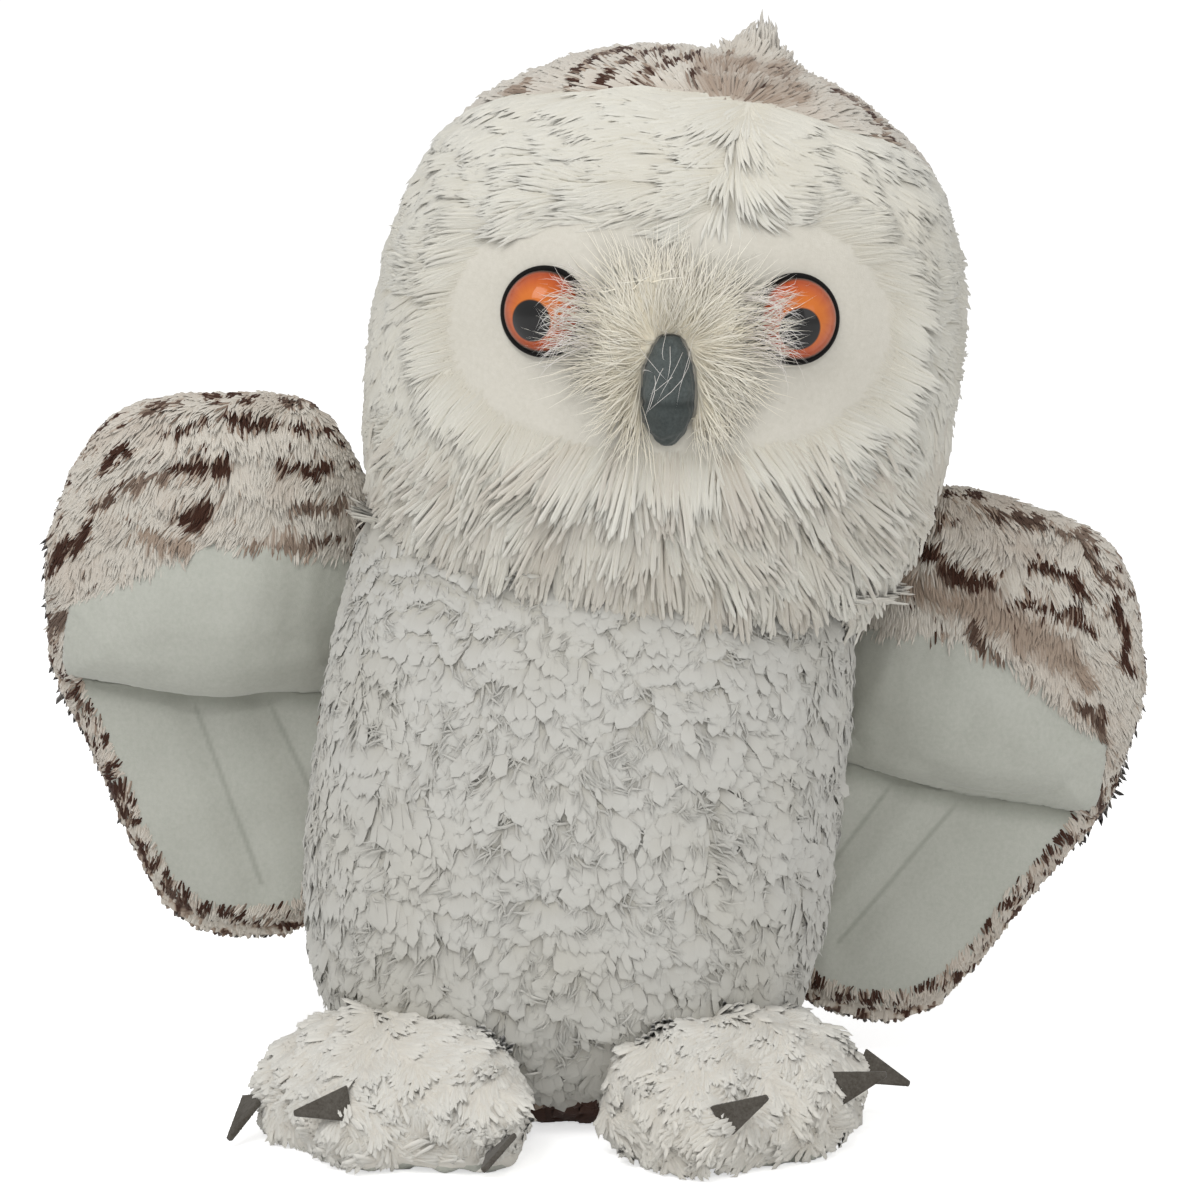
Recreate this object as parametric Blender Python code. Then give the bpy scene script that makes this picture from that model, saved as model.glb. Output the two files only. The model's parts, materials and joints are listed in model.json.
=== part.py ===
"""Plush owl with spread wings: a sewn and stuffed soft toy, modelled panel by panel.

Metres, Z up. The owl looks along -Y, and +X is the viewer's right. The origin is on the table,
at the middle of the flat seat. Each stuffed form is a stack of rounded rings; its cloth panels are
open shells of that form, and its filling is the same form, smaller by the cloth and a clearance.
"""
import math

import bmesh
import bpy
from mathutils import Matrix, Vector
from mathutils.bvhtree import BVHTree

# Cloth, clearances and cuts
PLUSH_WALL = 0.004
WING_WALL = 0.0035
LINING_WALL = 0.0022
PANEL_WALL = 0.005
BASE_WALL = 0.0022
GAP = 0.0003
OVERRUN = 0.03
MERGE = 0.000001

# Body
BODY_HALF_WIDTH = 0.0695
BODY_FRONT = 0.057
BODY_BACK = 0.050
NECK_HEIGHT = 0.150
LEAN = math.radians(8)
LEAN_RUN = 0.040
BODY_ROUNDNESS = 2.3
SIDE_SEAM_TURN = math.radians(12)
SEAT_TUCK = 0.006

# Pellet bag that weights the seat
BAG_HALF_WIDTH = 0.032
BAG_HALF_DEPTH = 0.027
BAG_HEIGHT = 0.024

# Head
HEAD_HALF_WIDTH = 0.0765
HEAD_FRONT = 0.065
HEAD_BACK = 0.060
HEAD_HEIGHT = 0.131
HEAD_SHIFT = 0.0058
HEAD_LEAN_SHARE = 0.03
HEAD_ROUNDNESS = 2.5
HOOD_SEAM_FRONT = 0.036
HOOD_SEAM_BACK = 0.016

# Face, in the plane that faces forwards
FACE_SIDE = -0.0001
FACE_HEIGHT = 0.0675
FACE_ROLL = math.radians(6.2)
DISC_HALF_WIDTH = 0.058
DISC_HALF_HEIGHT = 0.032
DISC_DROP = 0.003
DISC_DIP = 0.0035
DISC_DIP_WIDTH = 0.014
DISC_SET_IN = 0.0015
DISC_ROUNDNESS = 2.4
FLUFF_HALF_WIDTH = 0.017
FLUFF_HALF_HEIGHT = 0.019
FLUFF_DROP = 0.010
FLUFF_WALL = 0.002

# Eyes: domed plastic fronts on a post, locked by a washer
EYE_SPACING = 0.0616
EYE_RADIUS = 0.0103
EYE_DOME = 0.0068
EYE_RIM = 0.0012
EYE_TURN_OUT = math.radians(17)
EYE_TILT_UP = math.radians(7)
POST_RADIUS = 0.0024
POST_LENGTH = 0.013
FELT_RADIUS = 0.0116
FELT_WALL = 0.0012
WASHER_RADIUS = 0.0065
WASHER_WALL = 0.0014

# Beak
BEAK_TOP = -0.0045
BEAK_LENGTH = 0.0275
BEAK_HALF_WIDTH = 0.0070
BEAK_DEPTH = 0.0085
BEAK_FELT = 0.0014

# Wings, measured out from the spine and up from the shoulder
SHOULDER_DROP = 0.005
WING_REACH = 0.149
WING_RISE = 0.026
WING_FALL = 0.122
WING_PLANE = 0.022
ROOT_RADIUS = 0.009
ROOT_EDGE = 0.0022
PAD_SWELL = 0.019
BACK_SWELL = 0.0105
WING_ROUNDNESS = 2.6
FEATHER_RIM = 0.006
HEAD_ROOM = 0.006

# Feet
FEET_SPREAD = 0.0830
FEET_MIDDLE = 0.0035
FEET_FORWARD = 0.050
FOOT_HALF_WIDTH = 0.0310
FOOT_HALF_LENGTH = 0.0255
FOOT_HEIGHT = 0.0345
FOOT_SKEW_SHARE = 0.24
TOE_LENGTH = 0.0085
TOE_WIDTH = math.radians(27)
INSTEP_SHIFT = 0.008
SOLE_WALL = 0.0022
SOLE_TUCK = 0.003
LEFT_TOES = tuple(math.radians(turn) for turn in (84, 24, -46))
RIGHT_TOES = tuple(math.radians(turn) for turn in (108, 44, -10))
CLAW_LENGTH = 0.0145
CLAW_WIDTH = 0.0095
CLAW_WALL = 0.0015
CLAW_ROOT = 0.0015
CLAW_SHRINK = 0.15

# Tail
TAIL_LENGTH = 0.046
TAIL_HALF_WIDTH = 0.029
TAIL_WALL = 0.0045
TAIL_LINING = 0.0022
TAIL_HEIGHT = 0.027
TAIL_SLOPE = math.radians(20)

# How finely the forms are divided
BODY_FRONT_COLUMNS = 14
BODY_BACK_COLUMNS = 10
HEAD_COLUMNS = 24
FOOT_COLUMNS = 28
STRIP_ROWS = 4
PAD_ROWS = 6
ROOT_STEPS = 8
TURNED_STEPS = 20
OUTLINE_POINTS = 24
SHARP_ANGLE = math.radians(40)

# Profiles by eye: (share of the way along, share of the size that it follows)
BODY_LEVEL_SHARES = (0, 0.05, 0.12, 0.22, 0.36, 0.52, 0.68, 0.82, 0.92, 1)
BODY_SIDE_SHARES = (
    (0, 0.66), (0.05, 0.76), (0.12, 0.86), (0.22, 0.95), (0.36, 0.995),
    (0.50, 1), (0.63, 0.995), (0.77, 0.985), (0.90, 0.96), (1, 0.925),
)
BODY_DEPTH_SHARES = (
    (0, 0.58), (0.05, 0.73), (0.12, 0.86), (0.22, 0.955), (0.38, 1),
    (0.52, 0.99), (0.68, 0.955), (0.82, 0.92), (0.92, 0.89), (1, 0.86),
)
BAG_LEVEL_SHARES = (0, 0.2, 0.5, 0.8, 0.95)
BAG_SHARES = ((0, 0.80), (0.2, 0.95), (0.5, 1), (0.8, 0.86), (1, 0.5))
HEAD_LEVEL_SHARES = (0, 0.09, 0.19, 0.31, 0.43, 0.55, 0.67, 0.78, 0.87, 0.94, 0.985, 1)
HEAD_SIDE_SHARES = (
    (0, 0.86), (0.09, 0.925), (0.19, 0.97), (0.29, 0.993), (0.40, 1), (0.50, 0.993),
    (0.60, 0.965), (0.70, 0.91), (0.80, 0.815), (0.89, 0.65), (0.95, 0.46), (0.985, 0.26), (1, 0),
)
HEAD_DEPTH_SHARES = (
    (0, 0.82), (0.09, 0.90), (0.19, 0.96), (0.29, 0.99), (0.40, 1), (0.50, 0.995),
    (0.60, 0.975), (0.70, 0.925), (0.80, 0.83), (0.89, 0.67), (0.95, 0.47), (0.985, 0.27), (1, 0),
)
HOOD_SEAM_SHARES = (
    (1.15, -1), (0.90, -1), (0.865, -0.55), (0.81, 0), (0.70, 0.30), (0.50, 0.50), (0.25, 0.75), (-0.1, 1),
)
BEAK_LEVEL_SHARES = (0, 0.12, 0.3, 0.5, 0.7, 0.86, 0.95, 1)
BEAK_WIDTH_SHARES = ((0, 0.34), (0.12, 0.62), (0.35, 0.92), (0.55, 1), (0.75, 0.9), (0.9, 0.6), (1, 0.24))
BEAK_DEPTH_SHARES = ((0, 0.34), (0.12, 0.55), (0.35, 0.82), (0.6, 1), (0.8, 0.92), (0.92, 0.66), (1, 0.34))
WING_STATION_SHARES = (0, 0.022, 0.07, 0.15, 0.25, 0.37, 0.50, 0.63, 0.75, 0.84, 0.905, 0.915, 0.96, 1)
WING_TOP_SHARES = (
    (0, 0.30), (0.10, 0.66), (0.20, 0.90), (0.31, 0.98), (0.43, 1), (0.57, 1),
    (0.71, 0.93), (0.83, 0.73), (0.92, 0.33), (0.97, -0.10), (1, -0.55),
)
WING_WRAP_SHARES = (
    (0, 0.095), (0.25, 0.07), (0.43, 0.075), (0.57, 0.115), (0.72, 0.19), (0.83, 0.235),
    (0.905, 0.27), (0.915, 0.44), (0.96, 0.40), (1, 0.215),
)
WING_SEAM_SHARES = (
    (0, 0.41), (0.17, 0.415), (0.47, 0.445), (0.75, 0.445), (0.905, 0.45), (0.97, 0.385), (1, 0.23),
)
WING_FALL_SHARES = (
    (0, 0.93), (0.05, 0.965), (0.10, 0.98), (0.20, 0.995), (0.32, 1), (0.41, 0.99), (0.48, 0.96),
    (0.57, 0.885), (0.71, 0.715), (0.83, 0.575), (0.905, 0.50), (0.97, 0.40), (1, 0.245),
)
WING_SWELL_SHARES = ((0, 0), (0.25, 0.75), (0.45, 1), (0.65, 0.88), (0.82, 0.42), (0.93, 0), (1, -0.35))
WING_BACK_SHARES = ((0, 0), (0.4, 1), (0.7, 0.6), (0.9, -1.2), (1, -2))
PAD_END_SHARE = 0.905
LINING_END_SHARE = 0.87
FOOT_LEVEL_SHARES = (0, 0.10, 0.28, 0.48, 0.68, 0.84, 0.95, 1)
FOOT_SHARES = ((0, 0.86), (0.1, 0.94), (0.28, 1), (0.48, 0.97), (0.68, 0.86), (0.84, 0.65), (0.95, 0.38), (1, 0))
TOE_FADE_SHARES = ((0, 0), (0.4, 0.05), (0.7, 0.4), (0.95, 0.95), (1, 1))
TAIL_STATION_SHARES = (-0.30, 0, 0.3, 0.6, 0.82, 0.94, 1)
TAIL_WIDTH_SHARES = ((-0.30, 0.62), (0, 0.72), (0.3, 0.88), (0.6, 1), (0.82, 0.95), (0.94, 0.72), (1, 0.42))
TAIL_EDGE_SHARES = ((-1, 0), (-1, 0.55), (-0.6, 1), (0.6, 1), (1, 0.55), (1, 0))
TAIL_LINING_SHARE = 0.93
CLAW_PLACE_SHARES = {"left": (0.30, 0.52, 0.27), "right": (0.46, 0.52, 0.46)}
CLAW_TURNS = {
    "left": tuple(math.radians(turn) for turn in (80, 21, -41)),
    "right": tuple(math.radians(turn) for turn in (98, 52, -1)),
}
CLAW_AIMS = {
    "left": ((-0.42, -0.66, -0.62), (-0.97, -0.20, -0.12), (-0.30, -0.93, -0.20)),
    "right": ((0.66, -0.35, -0.16), (0.88, -0.25, 0.35), (0.80, -0.25, 0.52)),
}
CLAW_FACES = {
    "left": ((-0.72, -0.68, 0.10), (-0.20, -0.93, 0.30), (-0.60, 0.02, 0.80)),
    "right": ((0.25, -0.95, 0.20), (0.20, -0.93, 0.30), (0.10, -0.98, 0.15)),
}

# Colours as linear values, with roughness
FINISHES = {
    "shaggy_plush": ((0.76, 0.76, 0.72), 0.95),
    "curly_plush": ((0.66, 0.66, 0.63), 0.95),
    "barred_plush": ((0.42, 0.33, 0.28), 0.95),
    "velboa": ((0.78, 0.78, 0.74), 0.9),
    "face_velboa": ((0.80, 0.77, 0.70), 0.9),
    "cream_fluff": ((0.66, 0.61, 0.46), 0.95),
    "grey_felt": ((0.10, 0.115, 0.115), 0.95),
    "black_felt": ((0.012, 0.012, 0.012), 0.95),
    "eye_acrylic": ((0.70, 0.17, 0.025), 0.08),
    "washer_plastic": ((0.75, 0.75, 0.73), 0.45),
    "fibre_filling": ((0.85, 0.85, 0.84), 1.0),
    "pellet_cloth": ((0.60, 0.58, 0.52), 0.9),
}


def clear_scene():
    """Remove whatever the file opened with."""
    for item in list(bpy.data.objects):
        bpy.data.objects.remove(item, do_unlink=True)


def finish(name):
    """The material of a cloth or plastic, made once."""
    made = bpy.data.materials.get(name)
    if made is None:
        colour, roughness = FINISHES[name]
        made = bpy.data.materials.new(name)
        made.use_nodes = True
        shader = made.node_tree.nodes["Principled BSDF"]
        shader.inputs["Base Color"].default_value = (*colour, 1)
        shader.inputs["Roughness"].default_value = roughness
        shader.inputs["Metallic"].default_value = 0
    return made


def along(pairs, share):
    """Smooth value at a share of the way along (place, value) pairs, with no overshoot."""
    places = [pair[0] for pair in pairs]
    values = [pair[1] for pair in pairs]
    share = min(max(share, places[0]), places[-1])
    slopes = [(values[i + 1] - values[i]) / (places[i + 1] - places[i]) for i in range(len(pairs) - 1)]
    tangents = [slopes[0]]
    for before, after in zip(slopes, slopes[1:]):
        tangents.append(2 * before * after / (before + after) if before * after > 0 else 0)
    tangents.append(slopes[-1])
    i = max(k for k in range(len(pairs) - 1) if share >= places[k])
    width = places[i + 1] - places[i]
    t = (share - places[i]) / width
    hold = (1 + 2 * t) * (1 - t) ** 2 * values[i] + t * t * (3 - 2 * t) * values[i + 1]
    return hold + width * (t * (1 - t) ** 2 * tangents[i] - t * t * (1 - t) * tangents[i + 1])


def rounded(angle, side, front, back, roundness):
    """Point of a rounded outline in its own plane; flatter sides as roundness grows."""
    across, fore = math.cos(angle), math.sin(angle)
    power = 2 / roundness
    depth = back if fore > 0 else front
    return Vector((
        side * math.copysign(abs(across) ** power, across),
        depth * math.copysign(abs(fore) ** power, fore),
        0,
    ))


def loft(sections, cap_first=True, cap_last=True, close=False):
    """Mesh through closed sections of equal count, capped at its ends or closed on itself."""
    mesh = bmesh.new()
    rows = [[mesh.verts.new(point) for point in section] for section in sections]
    pairs = list(zip(rows, rows[1:]))
    if close:
        pairs.append((rows[-1], rows[0]))
    for low, high in pairs:
        for i in range(len(low)):
            j = (i + 1) % len(low)
            mesh.faces.new((low[i], low[j], high[j], high[i]))
    if cap_first and not close:
        mesh.faces.new(tuple(reversed(rows[0])))
    if cap_last and not close:
        mesh.faces.new(tuple(rows[-1]))
    return tidy(mesh)


def tidy(mesh):
    """Merge what meets at poles, drop what collapsed and turn every face outwards."""
    bmesh.ops.remove_doubles(mesh, verts=mesh.verts, dist=MERGE)
    bmesh.ops.dissolve_degenerate(mesh, edges=mesh.edges, dist=MERGE)
    bmesh.ops.recalc_face_normals(mesh, faces=mesh.faces)
    return mesh


def cup(outer, inner):
    """A shell with its mouth at the first ring and both walls closed at their own poles."""
    mesh = bmesh.new()
    for rings in (outer, inner):
        rows = [[mesh.verts.new(point) for point in ring] for ring in rings]
        for low, high in zip(rows, rows[1:]):
            for i in range(len(low)):
                j = (i + 1) % len(low)
                mesh.faces.new((low[i], low[j], high[j], high[i]))
        if rings is outer:
            mouth = rows[0]
    for i in range(len(mouth)):
        j = (i + 1) % len(mouth)
        mesh.faces.new((mouth[i], mouth[j], rows[0][j], rows[0][i]))
    return tidy(mesh)


def prism(outline, place, near, far):
    """A flat outline in x and z, run through along y from near to far."""
    return loft([[place @ Vector((x, depth, z)) for x, z in outline] for depth in (near, far)])


def turned(profile, place):
    """A round piece from its (radius, height) profile about the z axis of a placing matrix."""
    mesh = bmesh.new()
    verts = [mesh.verts.new((radius, 0, height)) for radius, height in profile]
    edges = [mesh.edges.new(pair) for pair in zip(verts, verts[1:])]
    bmesh.ops.spin(
        mesh, geom=verts + edges, cent=(0, 0, 0), axis=(0, 0, 1),
        angle=2 * math.pi, steps=TURNED_STEPS, use_merge=True,
    )
    bmesh.ops.transform(mesh, matrix=place, verts=mesh.verts)
    return tidy(mesh)


def add(name, mesh, material, joint=None, smooth=True):
    """Make a piece of a mesh given in world places; its origin is its joint's place."""
    data = bpy.data.meshes.new(name)
    if joint is not None:
        bmesh.ops.transform(mesh, matrix=joint.matrix_world.inverted(), verts=mesh.verts)
    mesh.to_mesh(data)
    mesh.free()
    data.materials.append(finish(material))
    if smooth:
        data.shade_smooth()
        data.set_sharp_from_angle(angle=SHARP_ANGLE)
    piece = bpy.data.objects.new(name, data)
    bpy.context.scene.collection.objects.link(piece)
    piece.parent = joint
    return piece


def guide(name, mesh):
    """A shape that only cuts others."""
    piece = add(name, mesh, "fibre_filling", smooth=False)
    piece.hide_render = True
    piece.display_type = "WIRE"
    return piece


def cut(piece, *tools, keep=False):
    """Take the tools away from a piece, or keep only what lies inside them."""
    for tool in tools:
        step = piece.modifiers.new(tool.name, "BOOLEAN")
        step.operation = "INTERSECT" if keep else "DIFFERENCE"
        step.solver = "EXACT"
        step.object = tool
    return piece


def pivot(name, place):
    """An empty on a joint's axis, its z along that axis."""
    empty = bpy.data.objects.new(name, None)
    empty.empty_display_size = ROOT_RADIUS
    bpy.context.scene.collection.objects.link(empty)
    empty.matrix_world = place
    bpy.context.view_layer.update()
    return empty


def spine(height):
    """Place on the body's leaning middle line, with its z along the line."""
    settle = 1 - math.exp(-height / LEAN_RUN)
    slope = math.tan(LEAN) * settle
    side = math.tan(LEAN) * (height - LEAN_RUN * settle)
    return Matrix.Translation((side, 0, height)) @ Matrix.Rotation(math.atan(slope), 4, "Y")


class Form:
    """A stuffed shape: rounded rings up a middle line."""

    def __init__(self, side, front, back, low, high, roundness, side_shares, depth_shares, place, closed):
        self.side, self.front, self.back = side, front, back
        self.low, self.high, self.roundness = low, high, roundness
        self.side_shares, self.depth_shares = side_shares, depth_shares
        self.place, self.closed = place, closed

    def ring(self, share, inset, angles):
        """The ring at a share of the height, drawn in by an inset."""
        top = self.high - (inset if self.closed else 0)
        wide, deep = along(self.side_shares, share), along(self.depth_shares, share)
        frame = self.place(self.low + (top - self.low) * share)
        sizes = [max(size - inset, 0) if share < 1 or not self.closed else 0
                 for size in (self.side * wide, self.front * deep, self.back * deep)]
        return [frame @ rounded(angle, *sizes, self.roundness) for angle in angles]

    def rings(self, inset, levels, angles):
        """Rings at every level."""
        return [self.ring(share, inset, angles) for share in levels]

    def shell(self, outer, inner, levels, angles):
        """An open panel between two insets, across some of the angles."""
        return loft([
            self.ring(share, outer, angles) + list(reversed(self.ring(share, inner, angles)))
            for share in levels
        ])


def sweep(first, last, count):
    """Evenly spaced angles, both ends included."""
    return [first + (last - first) * i / count for i in range(count + 1)]


BODY = Form(
    BODY_HALF_WIDTH, BODY_FRONT, BODY_BACK, BASE_WALL + GAP, NECK_HEIGHT, BODY_ROUNDNESS,
    BODY_SIDE_SHARES, BODY_DEPTH_SHARES, spine, False,
)
FRONT_ANGLES = sweep(math.pi - SIDE_SEAM_TURN, 2 * math.pi + SIDE_SEAM_TURN, BODY_FRONT_COLUMNS)
BACK_ANGLES = sweep(SIDE_SEAM_TURN, math.pi - SIDE_SEAM_TURN, BODY_BACK_COLUMNS)
BODY_ANGLES = FRONT_ANGLES + BACK_ANGLES[1:-1]


def nudged(angles):
    """Angles whose two ends stand back by half the seam's clearance."""
    step = GAP / BODY_HALF_WIDTH
    return [angles[0] + step] + angles[1:-1] + [angles[-1] - step]


def body_space():
    """The room that the body takes, which smaller forms are cut back from."""
    rings = BODY.rings(-GAP, BODY_LEVEL_SHARES, BODY_ANGLES)
    drop = Vector((0, 0, OVERRUN))
    return guide("body_space", loft([[point - drop for point in rings[0]]] + rings))


def build_body():
    """Front and back panels, base, filling and the pellet bag that weights the seat."""
    add("body_front_plush", BODY.shell(0, PLUSH_WALL, BODY_LEVEL_SHARES, nudged(FRONT_ANGLES)), "curly_plush")
    add("body_back_plush", BODY.shell(0, PLUSH_WALL, BODY_LEVEL_SHARES, nudged(BACK_ANGLES)), "barred_plush")
    edge = BODY.ring(0, 0, BODY_ANGLES)
    seat = BODY.ring(0, SEAT_TUCK, BODY_ANGLES)
    base = [
        [Vector((point.x, point.y, 0)) for point in seat],
        [point - Vector((0, 0, GAP)) for point in edge],
    ]
    add("body_base_panel", loft(base), "barred_plush")
    filling = add(
        "body_filling", loft(BODY.rings(PLUSH_WALL + GAP, BODY_LEVEL_SHARES, BODY_ANGLES)), "fibre_filling"
    )
    bag = Form(
        BAG_HALF_WIDTH, BAG_HALF_DEPTH, BAG_HALF_DEPTH, BASE_WALL + GAP, BASE_WALL + BAG_HEIGHT, 2,
        BAG_SHARES, BAG_SHARES, spine, False,
    )
    add("pellet_bag", loft(bag.rings(0, BAG_LEVEL_SHARES, BODY_ANGLES)), "pellet_cloth")
    room = bag.rings(-2 * GAP, BAG_LEVEL_SHARES, BODY_ANGLES)
    room[0] = [point - Vector((0, 0, BASE_WALL)) for point in room[0]]
    room.append([point + Vector((0, 0, GAP)) for point in room[-1]])
    cut(filling, guide("bag_space", loft(room)))


HEAD_BASE = spine(NECK_HEIGHT) @ Matrix.Translation((HEAD_SHIFT, 0, 0))


def head_line(height):
    """Place on the head's middle line, which leans a little further than the neck."""
    return HEAD_BASE @ Matrix.Translation((HEAD_LEAN_SHARE * height, 0, height))


HEAD = Form(
    HEAD_HALF_WIDTH, HEAD_FRONT, HEAD_BACK, 2 * GAP, HEAD_HEIGHT, HEAD_ROUNDNESS,
    HEAD_SIDE_SHARES, HEAD_DEPTH_SHARES, head_line, True,
)
HEAD_ANGLES = sweep(math.pi, 3 * math.pi, HEAD_COLUMNS)[:-1]
FACE_ANGLES = HEAD_ANGLES[:HEAD_COLUMNS // 2 + 1]
FACE = (
    HEAD_BASE @ Matrix.Translation((FACE_SIDE, 0, FACE_HEIGHT)) @ Matrix.Rotation(-FACE_ROLL, 4, "Y")
)


def oval(half_width, half_height, drop, dip=0):
    """A rounded outline in the face, with an optional dip in the middle of its top."""
    points = []
    for angle in sweep(0, 2 * math.pi, OUTLINE_POINTS)[:-1]:
        spot = rounded(angle, half_width, half_height, half_height, DISC_ROUNDNESS)
        sink = dip * math.exp(-(spot.x / DISC_DIP_WIDTH) ** 2) if spot.y > 0 else 0
        points.append((spot.x, spot.y - sink - drop))
    return points


def face_surface(inset):
    """A tree of the head's faceted front at an inset, for seating what lies on it."""
    mesh = loft(HEAD.rings(inset, HEAD_LEVEL_SHARES, HEAD_ANGLES), cap_last=False)
    tree = BVHTree.FromBMesh(mesh)
    mesh.free()
    return tree


def reach(tree, place, x, y):
    """Distance along a frame's z from a point of its own plane down to a surface."""
    start = place @ Vector((x, y, HEAD_FRONT))
    spot = tree.ray_cast(start, -(place.to_3x3() @ Vector((0, 0, 1))))[0]
    return (place.inverted() @ spot).z


def build_head(neck):
    """Shaggy front, barred hood, face disc and filling."""
    outer = HEAD.rings(0, HEAD_LEVEL_SHARES, HEAD_ANGLES)
    inner = HEAD.rings(PLUSH_WALL, HEAD_LEVEL_SHARES, HEAD_ANGLES)
    blocks = []
    for side, name in ((GAP / 2, "hood_side"), (-GAP / 2, "face_side")):
        seam = []
        for height, back in HOOD_SEAM_SHARES:
            depth = back * (HOOD_SEAM_FRONT if back < 0 else HOOD_SEAM_BACK)
            seam.append((depth + side, height * HEAD_HEIGHT + side))
        far = (HEAD_BACK if side > 0 else -HEAD_FRONT) + math.copysign(OVERRUN, side)
        outline = seam + [(far, seam[-1][1]), (far, seam[0][1])]
        wide = HEAD_HALF_WIDTH + OVERRUN
        blocks.append(guide(name, loft([
            [HEAD_BASE @ Vector((x, depth, height)) for depth, height in outline] for x in (-wide, wide)
        ])))
    front = add("head_front_plush", cup(outer, inner), "shaggy_plush", neck)
    cut(front, blocks[1], keep=True)
    opening = [(x * (1 + GAP / DISC_HALF_WIDTH), z * (1 + GAP / DISC_HALF_HEIGHT)) for x, z in disc_outline()]
    cut(front, guide("face_opening", prism(opening, FACE, -HEAD_FRONT - OVERRUN, -PLUSH_WALL)))
    cut(add("head_hood_plush", cup(outer, inner), "barred_plush", neck), blocks[0], keep=True)
    return add(
        "head_filling", loft(HEAD.rings(PLUSH_WALL + GAP, HEAD_LEVEL_SHARES, HEAD_ANGLES), cap_last=False),
        "fibre_filling", neck,
    )


def disc_outline():
    """The face disc's two-lobed edge."""
    return oval(DISC_HALF_WIDTH, DISC_HALF_HEIGHT, DISC_DROP, DISC_DIP)


def circle(radius):
    """Points around a circle, one for each step of a turned piece."""
    return [(radius * math.cos(turn), radius * math.sin(turn)) for turn in sweep(0, 2 * math.pi, TURNED_STEPS)]


def eye_place(tree, side):
    """A frame on the face at one eye, z outwards, at the highest point under the felt ring."""
    spot = FACE @ Matrix.Translation((side * EYE_SPACING / 2, 0, 0)) @ Matrix.Rotation(math.pi / 2, 4, "X")
    aim = Matrix.Rotation(side * EYE_TURN_OUT, 4, "Y") @ Matrix.Rotation(-EYE_TILT_UP, 4, "X")
    frame = spot @ Matrix.Translation((0, 0, reach(tree, spot, 0, 0))) @ aim
    ring = circle(FELT_RADIUS)
    grid = [(0, 0)] + ring + [(x / 2, y / 2) for x, y in ring]
    height = max(reach(tree, frame, x, y) for x, y in grid)
    return frame @ Matrix.Translation((0, 0, height + GAP))


def build_eye(name, side, outside, inside, disc, filling, neck):
    """Felt ring, domed eye with its post, and the washer that locks it."""
    place = eye_place(outside, side)
    bore = POST_RADIUS + GAP
    felt = ((bore, 0), (FELT_RADIUS, 0), (FELT_RADIUS, FELT_WALL), (bore, FELT_WALL), (bore, 0))
    add(f"{name}_eye_felt_ring", turned(felt, place), "black_felt", neck, smooth=False)
    base = FELT_WALL + GAP
    dome = [
        (EYE_RADIUS * math.cos(turn), base + EYE_RIM + (EYE_DOME - EYE_RIM) * math.sin(turn))
        for turn in sweep(0, math.pi / 2, 5)
    ]
    deep = base - POST_LENGTH
    eye = [(0, deep), (POST_RADIUS, deep), (POST_RADIUS, base), (EYE_RADIUS, base)] + dome[:-1] + [(0, dome[-1][1])]
    add(f"{name}_eye", turned(eye, place), "eye_acrylic", neck)
    back = min(reach(inside, place, x, y) for x, y in circle(WASHER_RADIUS)) - GAP
    washer = (
        (bore, back - WASHER_WALL), (WASHER_RADIUS, back - WASHER_WALL), (WASHER_RADIUS, back),
        (bore, back), (bore, back - WASHER_WALL),
    )
    add(f"{name}_eye_washer", turned(washer, place), "washer_plastic", neck, smooth=False)
    hole = ((0, -OVERRUN), (bore, -OVERRUN), (bore, FELT_RADIUS), (0, FELT_RADIUS))
    cut(disc, guide(f"{name}_post_hole", turned(hole, place)))
    room = WASHER_RADIUS + GAP
    pocket = ((0, deep - GAP), (room, deep - GAP), (room, FELT_RADIUS), (0, FELT_RADIUS))
    cut(filling, guide(f"{name}_washer_room", turned(pocket, place)))


def beak_sections(tree, inset, behind):
    """Half-round sections down the beak, their backs seated on the face and run on behind it."""
    turns = sweep(0, math.pi, 10)
    sections = []
    for share in BEAK_LEVEL_SHARES:
        high, low = BEAK_TOP - inset, BEAK_TOP - BEAK_LENGTH + inset
        z = high + (low - high) * share
        wide = max(BEAK_HALF_WIDTH * along(BEAK_WIDTH_SHARES, share) - inset, GAP)
        deep = max(BEAK_DEPTH * along(BEAK_DEPTH_SHARES, share) - inset, GAP)
        frame = FACE @ Matrix.Translation((0, 0, z)) @ Matrix.Rotation(math.pi / 2, 4, "X")
        seat = max(reach(tree, frame, x, 0) for x in (-wide, 0, wide)) + GAP
        arc = [(wide * math.cos(turn), -seat - deep * math.sin(turn)) for turn in turns]
        arc += [(-wide, behind - seat), (wide, behind - seat)]
        sections.append([FACE @ Vector((x, y, z)) for x, y in arc])
    return loft(sections)


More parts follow.
